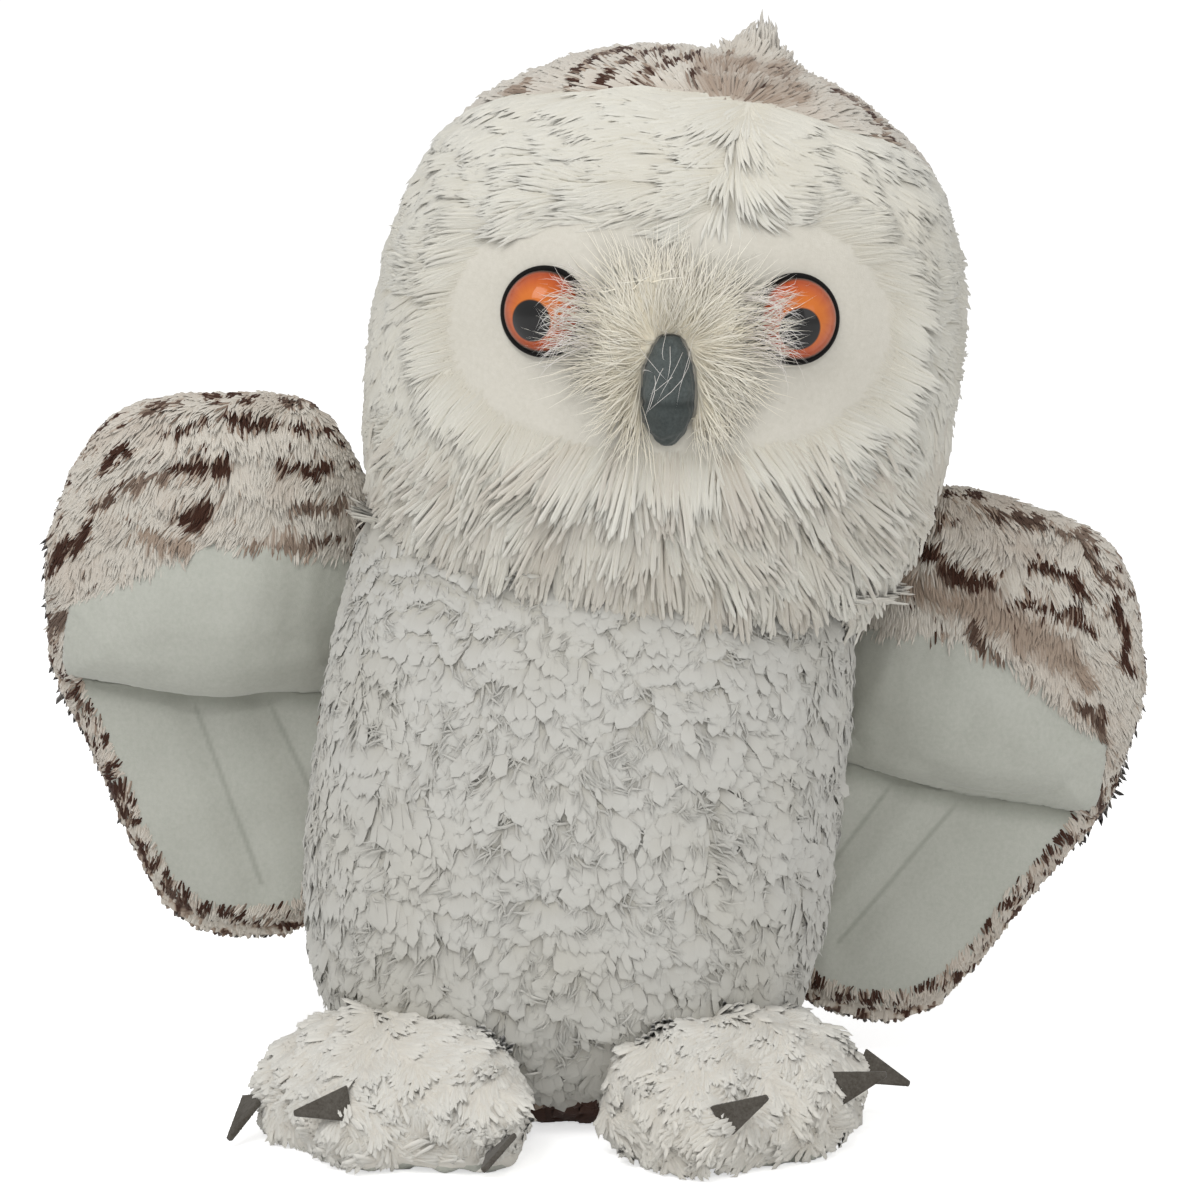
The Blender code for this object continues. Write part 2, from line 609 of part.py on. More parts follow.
def build_face(filling, neck):
    """Face disc, cream fluff, eyes and beak."""
    outside, inside = face_surface(DISC_SET_IN), face_surface(PLUSH_WALL)
    levels = HEAD_LEVEL_SHARES[1:-3]
    disc = add("face_disc", HEAD.shell(DISC_SET_IN, PLUSH_WALL, levels, FACE_ANGLES), "face_velboa", neck)
    cut(disc, guide("disc_outline", prism(disc_outline(), FACE, -HEAD_FRONT - OVERRUN, -PLUSH_WALL)), keep=True)
    for name, side in (("left", -1), ("right", 1)):
        build_eye(name, side, outside, inside, disc, filling, neck)
    fluff = add(
        "beak_fluff", HEAD.shell(DISC_SET_IN - GAP - FLUFF_WALL, DISC_SET_IN - GAP, levels, FACE_ANGLES),
        "cream_fluff", neck,
    )
    patch = oval(FLUFF_HALF_WIDTH, FLUFF_HALF_HEIGHT, FLUFF_DROP)
    cut(fluff, guide("fluff_outline", prism(patch, FACE, -HEAD_FRONT - OVERRUN, -PLUSH_WALL)), keep=True)
    cut(fluff, guide("beak_space", beak_sections(outside, -GAP, PLUSH_WALL)))
    felt = add("beak_felt", beak_sections(outside, 0, 0), "grey_felt", neck)
    cut(felt, guide("beak_hollow", beak_sections(outside, BEAK_FELT, PLUSH_WALL)))
    add("beak_filling", beak_sections(outside, BEAK_FELT + GAP, 0), "fibre_filling", neck)


SHOULDER = Matrix.Translation(spine(NECK_HEIGHT - SHOULDER_DROP).translation) @ HEAD_BASE.to_3x3().to_4x4()


def wing_root(side):
    """How far out the wing's swing axis lies, so that its rounded root just clears the body."""
    inward = SHOULDER.inverted()
    clear = ROOT_RADIUS + GAP
    out = 0
    rings = [[inward @ point for point in BODY.ring(share, 0, BODY_ANGLES)] for share in BODY_LEVEL_SHARES]
    for low, high in zip(rings, rings[1:]):
        for rise in sweep(0, 1, ROOT_STEPS):
            ring = [a.lerp(b, rise) for a, b in zip(low, high)]
            for a, b in zip(ring, ring[1:] + ring[:1]):
                for point in [a.lerp(b, run) for run in sweep(0, 1, ROOT_STEPS)]:
                    away = abs(point.y - WING_PLANE)
                    if away < clear:
                        out = max(out, side * point.x + math.sqrt(clear ** 2 - away ** 2))
    return out


class Wing:
    """One wing: stations from the rounded root to the tip, each a section from top to bottom."""

    def __init__(self, side):
        self.side = side
        self.axis = wing_root(side)
        self.root = self.axis - math.sqrt(ROOT_RADIUS ** 2 - ROOT_EDGE ** 2)

    def out(self, share):
        """Distance from the spine at a share of the wing's length."""
        return self.root + (WING_REACH - self.root) * share

    def top(self, share):
        """Height of the leading edge."""
        return WING_RISE * along(WING_TOP_SHARES, share)

    def low(self, share):
        """Height of the trailing edge."""
        return -WING_FALL * along(WING_FALL_SHARES, share)

    def seam(self, share):
        """Height of the quilted seam under the pad."""
        return max(-WING_FALL * along(WING_SEAM_SHARES, share), self.low(share) + GAP)

    def wrap(self, share):
        """Height where the barred front gives way to the smooth pad."""
        return max(-WING_FALL * along(WING_WRAP_SHARES, share), self.seam(share) + GAP)

    def swell(self, share, fullest, shares):
        """Half thickness: a round root, then the stuffed swell."""
        short = self.axis - self.out(share)
        if short > 0:
            return math.sqrt(ROOT_RADIUS ** 2 - short ** 2)
        return max(ROOT_RADIUS + (fullest - ROOT_RADIUS) * along(shares, share), WING_WALL + GAP)

    def heights(self, share, inset):
        """Section heights from the leading edge to the wrap, and on to the seam."""
        top, wrap, seam = self.top(share) - inset, self.wrap(share), self.seam(share) + inset
        wrap = min(max(wrap, seam + GAP), top - GAP)
        upper = [top + (wrap - top) * (1 - math.cos(math.pi / 2 * i / STRIP_ROWS)) for i in range(STRIP_ROWS + 1)]
        lower = [wrap + (seam - wrap) * math.sin(math.pi / 2 * i / PAD_ROWS) for i in range(PAD_ROWS + 1)]
        return upper, lower

    def bulge(self, share, inset, height):
        """Share of the full thickness at a height of the section."""
        top, seam = self.top(share) - inset, self.seam(share) + inset
        across = abs((top - height) - (height - seam)) / (top - seam)
        return math.sqrt(max(1 - across ** WING_ROUNDNESS, 0))

    def front(self, share, inset, heights):
        """Points of the front cloth, outside when the inset is zero and inside otherwise."""
        thick = max(self.swell(share, PAD_SWELL, WING_SWELL_SHARES) - inset, GAP)
        return [(-thick * self.bulge(share, inset, height) - GAP / 2, height) for height in heights]

    def back(self, share, inset, heights):
        """Points of the back cloth over the filling."""
        thick = max(self.swell(share, BACK_SWELL, WING_BACK_SHARES) - inset, GAP)
        points = []
        for height in heights:
            deep = thick * self.bulge(share, inset, height)
            if inset == 0 and height < (self.top(share) + self.seam(share)) / 2:
                deep = max(deep, min(PANEL_WALL, thick))
            points.append((deep + GAP / 2, height))
        return points

    def section(self, share, points):
        """World points of a section given as (depth, height) pairs."""
        out = self.side * self.out(share)
        return [SHOULDER @ Vector((out, WING_PLANE + depth, height)) for depth, height in points]

    def cloth(self, part, stations):
        """A front panel: the strip above the wrap, or the pad below it."""
        sections = []
        for share in stations:
            outside, inside = self.heights(share, 0)[part], self.heights(share, WING_WALL)[part]
            if part == 1:
                outside = [outside[0] - GAP] + outside[1:]
                inside = [inside[0] - GAP] + inside[1:]
            points = self.front(share, 0, outside) + list(reversed(self.front(share, WING_WALL, inside)))
            sections.append(self.section(share, points))
        return loft(sections)

    def back_panel(self):
        """The barred back: over the filling, then flat behind the feather lining."""
        sections = []
        for share in WING_STATION_SHARES:
            upper, lower = self.heights(share, 0)
            inner_upper, inner_lower = self.heights(share, WING_WALL)
            thick = min(PANEL_WALL, self.swell(share, BACK_SWELL, WING_BACK_SHARES))
            low, seam = self.low(share), self.seam(share)
            middle = (low + seam) / 2
            points = self.back(share, 0, upper + lower[1:])
            points += [(thick + GAP / 2, middle), (thick + GAP / 2, low + (seam - low) / PAD_ROWS)]
            points += [(thick / 2, low), (GAP / 2, low), (GAP / 2, middle)]
            points += list(reversed(self.back(share, WING_WALL, inner_upper + inner_lower[1:])))
            sections.append(self.section(share, points))
        return loft(sections)

    def lining(self):
        """The flat feather lining in front of the back panel, inside its plush rim."""
        sections = []
        stations = [share for share in WING_STATION_SHARES if share < LINING_END_SHARE]
        for share in stations + [LINING_END_SHARE]:
            high, low = self.seam(share) - GAP, min(self.low(share) + FEATHER_RIM, self.seam(share) - FEATHER_RIM)
            near, far = -GAP / 2, -GAP / 2 - LINING_WALL
            middle = (high + low) / 2
            points = [(near, high), (near, middle), (near, low), (far, low), (far, middle), (far, high)]
            sections.append(self.section(share, points))
        return loft(sections)

    def filling(self):
        """The stuffing between the front cloths and the back panel."""
        sections = []
        for share in WING_STATION_SHARES:
            upper, lower = self.heights(share, WING_WALL)
            heights = (upper + lower[1:])[1:-1]
            front = [(depth + 2 * GAP, height) for depth, height in self.front(share, WING_WALL, heights)]
            back = [(depth - 2 * GAP, height) for depth, height in self.back(share, WING_WALL, heights)]
            if min(b[0] - f[0] for f, b in zip(front, back)) > 2 * GAP:
                sections.append(self.section(share, front + list(reversed(back))))
        return loft(sections)


def build_wing(name, side, head_room):
    """Barred back and front strip, smooth pad, feather lining and filling, on one swing axis."""
    wing = Wing(side)
    axis = SHOULDER @ Matrix.Translation((side * wing.axis, WING_PLANE, 0))
    joint = pivot(f"{name}_wing_axis", axis)
    pads = [share for share in WING_STATION_SHARES if share <= PAD_END_SHARE]
    cut(add(f"{name}_wing_back_plush", wing.back_panel(), "barred_plush", joint), head_room)
    cut(add(f"{name}_wing_front_plush", wing.cloth(0, WING_STATION_SHARES), "barred_plush", joint), head_room)
    add(f"{name}_wing_pad", wing.cloth(1, pads), "velboa", joint)
    add(f"{name}_wing_feather_lining", wing.lining(), "velboa", joint, smooth=False)
    cut(add(f"{name}_wing_filling", wing.filling(), "fibre_filling", joint), head_room)


class Foot:
    """One lobed foot, its toes given as turns outwards from straight ahead."""

    def __init__(self, side, toes):
        self.side, self.toes = side, toes
        self.centre = Vector((FEET_MIDDLE + side * FEET_SPREAD / 2, -FEET_FORWARD, 0))

    def lobe(self, turn, share):
        """How far a toe stands out at a turn from straight ahead; it fades towards the instep."""
        lobes = 0
        for toe in self.toes:
            away = math.remainder(turn - toe, 2 * math.pi)
            lobes = max(lobes, math.exp(-(away / TOE_WIDTH) ** 2))
        return TOE_LENGTH * lobes * (1 - along(TOE_FADE_SHARES, share))

    def spot(self, turn, share, inset):
        """Plan place at a turn from straight ahead, drawn in by an inset."""
        full, lobe = along(FOOT_SHARES, share), self.lobe(turn, share)
        wide = max(FOOT_HALF_WIDTH * full + lobe - inset, 0) if share < 1 else 0
        long = max(FOOT_HALF_LENGTH * full + lobe - inset, 0) if share < 1 else 0
        outward = math.sin(turn) * wide
        back = INSTEP_SHIFT * share * share + FOOT_SKEW_SHARE * outward
        return self.centre + Vector((self.side * outward, back - math.cos(turn) * long, 0))

    def ring(self, share, inset, low):
        """Ring of the foot at a share of its height above a low plane."""
        top = FOOT_HEIGHT - inset
        height = Vector((0, 0, low + (top - low) * share))
        return [self.spot(turn, share, inset) + height for turn in sweep(0, 2 * math.pi, FOOT_COLUMNS)[:-1]]

    def rings(self, inset, low):
        """All rings of the foot."""
        return [self.ring(share, inset, low) for share in FOOT_LEVEL_SHARES]


def build_claw(name, root, aim, face, space, joint):
    """A flat felt triangle, its root sewn into the toe."""
    tip = Vector(aim).normalized()
    across = tip.cross(Vector(face)).normalized()
    thick = across.cross(tip)
    half = CLAW_WIDTH / 2
    outline = ((-half, 0), (half, 0), (half * CLAW_SHRINK, CLAW_LENGTH), (-half * CLAW_SHRINK, CLAW_LENGTH))
    rows = [
        [root + across * x + tip * (y - CLAW_ROOT) + thick * z for x, y in outline]
        for z in (-CLAW_WALL / 2, CLAW_WALL / 2)
    ]
    cut(add(name, loft(rows), "grey_felt", joint, smooth=False), space)


def build_foot(name, side, toes, body_room):
    """Plush upper, sole, filling and three felt claws, on a flex axis along the instep seam."""
    foot = Foot(side, toes)
    share = (FOOT_HEIGHT - BODY.low) / (BODY.high - BODY.low)
    belly = min(point.y for point in BODY.ring(share, 0, BODY_ANGLES))
    axis = Matrix.Translation((foot.centre.x, belly - GAP, FOOT_HEIGHT)) @ Matrix.Rotation(-math.pi / 2, 4, "Y")
    joint = pivot(f"{name}_foot_axis", axis)
    low = SOLE_WALL + GAP
    outer = foot.rings(0, low)
    cut(add(f"{name}_foot_plush", cup(outer, foot.rings(PLUSH_WALL, low)), "curly_plush", joint), body_room)
    tread = [Vector((point.x, point.y, 0)) for point in foot.ring(0, SOLE_TUCK, low)]
    edge = [Vector((point.x, point.y, SOLE_WALL)) for point in outer[0]]
    cut(add(f"{name}_foot_sole", loft([tread, edge]), "velboa", joint), body_room)
    filling = loft(foot.rings(PLUSH_WALL + GAP, low), cap_last=False)
    cut(add(f"{name}_foot_filling", filling, "fibre_filling", joint), body_room)
    space = guide(f"{name}_foot_space", loft(foot.rings(-GAP, low), cap_last=False))
    claws = zip(CLAW_TURNS[name], CLAW_PLACE_SHARES[name], CLAW_AIMS[name], CLAW_FACES[name])
    for number, (turn, share, aim, face) in enumerate(claws, start=1):
        root = foot.spot(turn, share, -CLAW_WALL / 2) + Vector((0, 0, FOOT_HEIGHT * share))
        build_claw(f"{name}_claw_{number}", root, aim, face, space, joint)


def tail_layer(place, near, far, shares):
    """One cloth of the tail: a fan with rounded corners between two heights."""
    sections = []
    for share in TAIL_STATION_SHARES:
        half = TAIL_HALF_WIDTH * along(TAIL_WIDTH_SHARES, share) * shares
        sections.append([
            place @ Vector((half * x, TAIL_LENGTH * share, near + (far - near) * z)) for x, z in TAIL_EDGE_SHARES
        ])
    return loft(sections)


def build_tail(body_room):
    """A short flat tail: barred on top, smooth underneath."""
    share = (TAIL_HEIGHT - BODY.low) / (BODY.high - BODY.low)
    rump = max(point.y for point in BODY.ring(share, 0, BODY_ANGLES))
    seat = spine(TAIL_HEIGHT).translation.x
    axis = Matrix.Translation((seat, rump + GAP, TAIL_HEIGHT)) @ Matrix.Rotation(math.pi / 2, 4, "Y")
    joint = pivot("tail_axis", axis)
    place = Matrix.Translation((seat, rump, TAIL_HEIGHT - TAIL_WALL)) @ Matrix.Rotation(-TAIL_SLOPE, 4, "X")
    cut(add("tail_plush", tail_layer(place, 0, TAIL_WALL, 1), "barred_plush", joint), body_room)
    under = tail_layer(place, -GAP, -GAP - TAIL_LINING, TAIL_LINING_SHARE)
    cut(add("tail_lining", under, "velboa", joint), body_room)


def main():
    """Build the owl from its seat upwards."""
    clear_scene()
    body_room = body_space()
    build_body()
    neck = pivot("head_axis", HEAD_BASE)
    filling = build_head(neck)
    build_face(filling, neck)
    head_room = guide(
        "head_room", loft(HEAD.rings(-HEAD_ROOM, HEAD_LEVEL_SHARES, HEAD_ANGLES), cap_last=False)
    )
    build_wing("left", -1, head_room)
    build_wing("right", 1, head_room)
    build_foot("left", -1, LEFT_TOES, body_room)
    build_foot("right", 1, RIGHT_TOES, body_room)
    build_tail(body_room)


main()
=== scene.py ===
"""Looks of a sitting plush owl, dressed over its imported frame."""

import json
import logging
import math
from dataclasses import dataclass, field
from enum import Enum
from typing import Callable

import bmesh
import bpy
import numpy as np
from mathutils import Matrix, Vector
from mathutils.bvhtree import BVHTree
from mathutils.kdtree import KDTree


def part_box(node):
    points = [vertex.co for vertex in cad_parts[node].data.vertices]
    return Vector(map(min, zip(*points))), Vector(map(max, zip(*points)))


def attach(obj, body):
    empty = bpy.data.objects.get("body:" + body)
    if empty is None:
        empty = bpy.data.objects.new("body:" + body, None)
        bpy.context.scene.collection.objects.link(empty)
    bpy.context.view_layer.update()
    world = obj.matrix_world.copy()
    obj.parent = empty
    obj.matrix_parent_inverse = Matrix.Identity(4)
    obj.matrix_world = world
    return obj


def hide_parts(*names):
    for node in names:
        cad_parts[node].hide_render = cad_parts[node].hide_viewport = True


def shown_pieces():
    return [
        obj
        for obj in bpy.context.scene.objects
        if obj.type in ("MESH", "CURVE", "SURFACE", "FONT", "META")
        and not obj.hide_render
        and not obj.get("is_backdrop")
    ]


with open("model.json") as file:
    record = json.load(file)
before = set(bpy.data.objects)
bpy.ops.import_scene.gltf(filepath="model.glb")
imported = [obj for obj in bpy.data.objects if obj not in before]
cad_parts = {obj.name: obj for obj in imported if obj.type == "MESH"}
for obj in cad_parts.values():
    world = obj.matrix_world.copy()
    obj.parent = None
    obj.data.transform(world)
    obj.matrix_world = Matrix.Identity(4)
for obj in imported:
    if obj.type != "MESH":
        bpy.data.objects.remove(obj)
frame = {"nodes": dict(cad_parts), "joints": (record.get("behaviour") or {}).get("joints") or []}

log = logging.getLogger("owl")
Array = np.ndarray
Field = Callable[[Array], Array]
MM = 0.001
# How long the cloth settles, and how far its movement is evened out afterwards.
CLOTH_FRAMES = 18
CLOTH_ROUNDS = 24
# The lowest that a strand may lie over the floor.
STRAND_FLOOR = 0.3 * MM


class Side(Enum):
    """Which of a pair a piece is, as the camera sees it."""

    LEFT = "left"
    RIGHT = "right"

    @property
    def sign(self) -> int:
        """Returns the direction of this side along X."""
        return -1 if self is Side.LEFT else 1


# ---------------------------------------------------------------- numbers


def unit(vectors: Array) -> Array:
    """Returns the vectors at length one."""
    return vectors / np.maximum(np.linalg.norm(vectors, axis=-1, keepdims=True), 1e-12)


def ease(values: Array, start: float, end: float) -> Array:
    """Returns 0 before start and 1 after end, with a smooth rise between them."""
    share = np.clip((values - start) / (end - start), 0, 1)
    return share * share * (3 - 2 * share)


def flatten(vectors: Array, normals: Array) -> Array:
    """Returns the part of each vector that lies along the cloth, at length one."""
    along = vectors - normals * np.sum(vectors * normals, axis=1, keepdims=True)
    return unit(along)


@dataclass(frozen=True)
class Drift:
    """A value that wanders smoothly over space, for swirls and uneven pile.

    size is the length of one swing in metres, and seed fixes where the swings fall.
    """

    size: float
    seed: int
    waves: int = 9

    def at(self, points: Array) -> Array:
        """Returns one value per point, mostly between -1 and 1."""
        rng = np.random.default_rng(self.seed)
        ways = unit(rng.normal(size=(self.waves, 3))) * (2 * math.pi / self.size)
        ways = ways * rng.uniform(0.5, 1.5, (self.waves, 1))
        starts = rng.uniform(0, 2 * math.pi, self.waves)
        return np.sin(points @ ways.T + starts).sum(1) / math.sqrt(self.waves)


@dataclass(frozen=True)
class Axes:
    """A flat frame through the owl: its origin, and the direction that it calls up."""

    origin: tuple[float, float, float]
    up: tuple[float, float, float]

    @property
    def across(self) -> Array:
        """Returns the direction that this frame calls across."""
        return np.array([self.up[2], 0.0, -self.up[0]])

    def local(self, points: Array) -> Array:
        """Returns the points as (across, depth, up)."""
        gap = points - np.array(self.origin)
        return np.stack([gap @ self.across, gap[:, 1], gap @ np.array(self.up)], 1)

    def world(self, directions: Array) -> Array:
        """Returns directions that are given as (across, depth, up), in the owl's frame."""
        axes = np.stack([self.across, np.array([0.0, 1.0, 0.0]), np.array(self.up)])
        return directions @ axes


def lean_axes(origin: tuple[float, float, float]) -> Axes:
    """Returns the leaning frame of the head and wings, with its zero at a place."""
    turn = next(j for j in frame["joints"] if j["name"] == "head_turn")
    return Axes(origin, tuple(turn["axis"]))


# ---------------------------------------------------------------- finishes


def linear(shade: str) -> tuple[float, float, float, float]:
    """Returns a colour written as sRGB hex in linear light."""
    parts = [int(shade[k : k + 2], 16) / 255 for k in (1, 3, 5)]
    light = [c / 12.92 if c <= 0.04045 else ((c + 0.055) / 1.055) ** 2.4 for c in parts]
    return (*light, 1.0)


def add_node(
    tree: bpy.types.NodeTree, kind: str, inputs: dict | None = None, **settings: object
) -> bpy.types.Node:
    """Adds one node with its settings and links.

    Args:
        tree: the material's or world's node tree.
        kind: the node's type.
        inputs: value or other node's output for each input, by name or number.
        settings: the node's own settings; stops are the places and colours of a ramp.

    Returns:
        The new node.
    """
    made = tree.nodes.new(kind)
    for place, shade in enumerate(settings.pop("stops", ())):
        stops = made.color_ramp.elements
        stop = stops[place] if place < 2 else stops.new(shade[0])
        stop.position, stop.color = shade[0], linear(shade[1])
    for name, value in settings.items():
        setattr(made, name, value)
    for key, value in (inputs or {}).items():
        if isinstance(value, bpy.types.NodeSocket):
            tree.links.new(value, made.inputs[key])
        else:
            made.inputs[key].default_value = value
    return made


def new_material(name: str) -> tuple[bpy.types.Material, bpy.types.NodeTree]:
    """Returns an empty material and its node tree."""
    made = bpy.data.materials.new(name)
    made.use_nodes = True
    made.node_tree.nodes.clear()
    return made, made.node_tree


def close_material(tree: bpy.types.NodeTree, shader: bpy.types.NodeSocket) -> None:
    """Links the last shader to the material's output."""
    add_node(tree, "ShaderNodeOutputMaterial", {"Surface": shader})


def noise(
    tree: bpy.types.NodeTree,
    place: bpy.types.NodeSocket,
    size: float,
    detail: float = 2.0,
    rough: float = 0.5,
) -> bpy.types.NodeSocket:
    """Returns a noise whose swings are about size metres long."""
    inputs = {"Vector": place, "Scale": 1 / size, "Detail": detail, "Roughness": rough}
    return add_node(tree, "ShaderNodeTexNoise", inputs).outputs["Fac"]


def span(
    tree: bpy.types.NodeTree,
    value: bpy.types.NodeSocket,
    low: float,
    high: float,
    top: float = 1.0,
) -> bpy.types.NodeSocket:
    """Returns 0 where a value is at low, and top where it is at high."""
    inputs = {"Value": value, "From Min": low, "From Max": high, "To Max": top}
    return add_node(tree, "ShaderNodeMapRange", inputs).outputs[0]


def lay(
    tree: bpy.types.NodeTree, share: bpy.types.NodeSocket, under: bpy.types.NodeSocket, over: str
) -> bpy.types.NodeSocket:
    """Returns a colour with another laid over it by a share."""
    inputs = {"Factor": share, 6: under, 7: linear(over)}
    return add_node(tree, "ShaderNodeMix", inputs, data_type="RGBA").outputs[2]


def close_cloth(
    tree: bpy.types.NodeTree,
    shade: bpy.types.NodeSocket,
    relief: tuple[bpy.types.NodeSocket, float, float],
    rough: float,
    sheen: tuple[float, float],
) -> None:
    """Closes the material of a cloth.

    Args:
        tree: the material's nodes.
        shade: its colour.
        relief: the fibres' height, how strongly it shows, and its depth in metres.
        rough: how matt the fibres are.
        sheen: weight and roughness of the fuzz that catches light.
    """
    height, strength, depth = relief
    bump = add_node(
        tree, "ShaderNodeBump", {"Height": height, "Strength": strength, "Distance": depth}
    )
    shader = add_node(
        tree,
        "ShaderNodeBsdfPrincipled",
        {
            "Base Color": shade,
            "Normal": bump.outputs["Normal"],
            "Roughness": rough,
            "Specular IOR Level": 0.2,
            "Sheen Weight": sheen[0],
            "Sheen Roughness": sheen[1],
        },
    )
    close_material(tree, shader.outputs["BSDF"])


@dataclass(frozen=True)
class PileCloth:
    """Knitted polyester plush: matt fibres, with painted shade towards their roots and between
    locks.

    Its pattern follows the strand attribute: place along the strand, print, and shade.
    """

    name: str
    root: str
    body: str
    tip: str
    haze: str
    print_dark: str = "#42281C"
    # The print's soft brown; on the beard it lays painted shade.
    soft_print_and_shade: str = "#AB9989"
    haze_size: float = 30 * MM
    fibre: float = 0.35 * MM
    rough: float = 0.86

    def make(self) -> bpy.types.Material:
        """Returns the material."""
        made, tree = new_material(self.name)
        strand = add_node(tree, "ShaderNodeAttribute", attribute_name="strand")
        parts = add_node(tree, "ShaderNodeSeparateXYZ", {0: strand.outputs["Vector"]}).outputs
        place = add_node(tree, "ShaderNodeTexCoord").outputs["Object"]
        # Painted shade: the ramp darkens each strand towards its root, as deep in the pile.
        along = add_node(
            tree,
            "ShaderNodeValToRGB",
            {"Fac": parts["X"]},
            stops=((0.0, self.root), (1.0, self.tip), (0.4, self.body)),
        )
        # Handled plush yellows and greys in soft patches some centimetres wide.
        patches = span(tree, noise(tree, place, self.haze_size), 0.45, 0.7, top=0.5)
        hazed = lay(tree, patches, along.outputs["Color"], self.haze)
        # The print sinks into the pile: a soft brown first, and the dark bar over it. On the beard
        # the soft brown layer is painted shade.
        tinted = lay(tree, span(tree, parts["Y"], 0.05, 0.5), hazed, self.soft_print_and_shade)
        barred = lay(tree, span(tree, parts["Y"], 0.5, 0.85), tinted, self.print_dark)
        # Each strand's lightness: random, plus the painted shade between locks.
        level = add_node(
            tree, "ShaderNodeMapRange", {"Value": parts["Z"], "To Min": 0.94, "To Max": 1.02}
        )
        shaded = add_node(
            tree, "ShaderNodeHueSaturation", {"Value": level.outputs[0], "Color": barred}
        )
        relief = (noise(tree, place, self.fibre), 0.35, 0.15 * MM)
        close_cloth(tree, shaded.outputs["Color"], relief, self.rough, (0.2, 0.5))
        return made


@dataclass(frozen=True)
class NapCloth:
    """Velboa or felt: a short dense nap whose fibres catch light in faint flecks.

    seam darkens where the piece's seam attribute is high: thread pulling the cloth in, and painted
    shade at the wing's pad crease and on the beak.
    """

    name: str
    plain: str
    fleck: str
    # Thread lines' colour, also laid as painted shade in creases and on the beak's lower part.
    seam: str
    fleck_size: float = 1.2 * MM
    haze_size: float = 22 * MM
    relief: float = 0.12 * MM
    rough: float = 0.9
    sheen: float = 0.35

    def make(self) -> bpy.types.Material:
        """Returns the material."""
        made, tree = new_material(self.name)
        place = add_node(tree, "ShaderNodeTexCoord").outputs["Object"]
        seam = add_node(tree, "ShaderNodeAttribute", attribute_name="seam")
        flecks = noise(tree, place, self.fleck_size, 4.0, 0.7)
        patches = noise(tree, place, self.haze_size, 3.0)
        nap = noise(tree, place, 0.3 * MM, 3.0)
        blend, height = (
            add_node(tree, "ShaderNodeMix", {0: share, 2: a, 3: b}, data_type="FLOAT").outputs[0]
            for share, a, b in ((0.35, flecks, patches), (0.45, nap, flecks))
        )
        tone = add_node(
            tree,
            "ShaderNodeValToRGB",
            {"Fac": blend},
            stops=((0.34, self.fleck), (0.62, self.plain)),
        )
        stitched = lay(tree, seam.outputs["Fac"], tone.outputs["Color"], self.seam)
        close_cloth(tree, stitched, (height, 0.5, self.relief), self.rough, (self.sheen, 0.4))
        return made


@dataclass(frozen=True)
class EyeAcrylic:
    """Moulded acrylic safety eye: clear gloss over an orange ring and a black pupil.

    Its pattern follows the lens attribute: across, up and distance from the middle.
    """

    name: str = "moulded acrylic eye"
    pupil: str = "#040303"
    inner: str = "#CF6E22"
    outer: str = "#A8410B"
    rim: str = "#120803"
    pupil_share: float = 0.5
    blur: float = 0.02

    def make(self) -> bpy.types.Material:
        """Returns the material."""
        made, tree = new_material(self.name)
        lens = add_node(tree, "ShaderNodeAttribute", attribute_name="lens")
        parts = add_node(tree, "ShaderNodeSeparateXYZ", {0: lens.outputs["Vector"]})
        # Spokes: noise stretched towards the rim, as the dye streaks in the moulding.
        turned = add_node(
            tree, "ShaderNodeVectorMath", {0: lens.outputs["Vector"]}, operation="NORMALIZE"
        )
        spokes = add_node(
            tree,
            "ShaderNodeTexNoise",
            {"Vector": turned.outputs["Vector"], "Scale": 9.0, "Detail": 3.0},
        )
        swayed = add_node(
            tree,
            "ShaderNodeMath",
            {0: spokes.outputs["Fac"], 1: 0.28, 2: parts.outputs["Z"]},
            operation="MULTIPLY_ADD",
        )
        iris = add_node(
            tree,
            "ShaderNodeValToRGB",
            {"Fac": swayed.outputs[0]},
            stops=((0.62, self.inner), (1.1, self.outer), (0.85, "#BF5716")),
        )
        ring = span(tree, parts.outputs["Z"], 0.9, 0.97)
        rimmed = lay(tree, ring, iris.outputs["Color"], self.rim)
        pupil = add_node(tree, "ShaderNodeAttribute", attribute_name="pupil").outputs["Fac"]
        hole = span(tree, pupil, self.pupil_share + self.blur, self.pupil_share - self.blur)
        shader = add_node(
            tree,
            "ShaderNodeBsdfPrincipled",
            {
                "Base Color": lay(tree, hole, rimmed, self.pupil),
                "Roughness": 0.4,
                "Specular IOR Level": 0.1,
                "Coat Weight": 0.7,
                "Coat Roughness": 0.02,
                "Coat IOR": 1.4,
            },
        )
        close_material(tree, shader.outputs["BSDF"])
        return made


SHAGGY = PileCloth("long yarn-like polyester plush", "#D9D4C6", "#DEDBD0", "#E4E2D9", "#DAD5C7")
CURLY = PileCloth("short curly polyester plush", "#BCB9AF", "#C2C0B9", "#CAC9C3", "#C4C1B7")
MATTED = PileCloth("matted off-white polyester plush", "#D9D4CA", "#DDDAD2", "#E1DFD8", "#DAD5CA")
BARRED = PileCloth("printed barred polyester plush", "#CCC5B9", "#D3CCC1", "#DCD7CD", "#CEC1B4")
FLUFF = PileCloth("fine cream polyester fluff", "#EFE6D0", "#F6F0DF", "#FBF7EC", "#EFE5CE")
EYE_HAIR = PileCloth("loose white fibres", "#F3ECE4", "#FAF6F1", "#FDFBF8", "#F6EBE2")
VELBOA = NapCloth("brushed pale velboa", "#BCBDB4", "#B0B2A8", "#7F8176")
FACE_VELBOA = NapCloth("brushed cream velboa", "#D7D3C8", "#CDC9BD", "#B6B0A1")
GREY_FELT = NapCloth(
    "pressed grey wool felt", "#5B6160", "#424847", "#323736", 0.8 * MM, 9 * MM, 0.2 * MM, 0.95, 0.2
)
CLAW_SHADES = ("#5F5B55", "#454039", "#37332E")
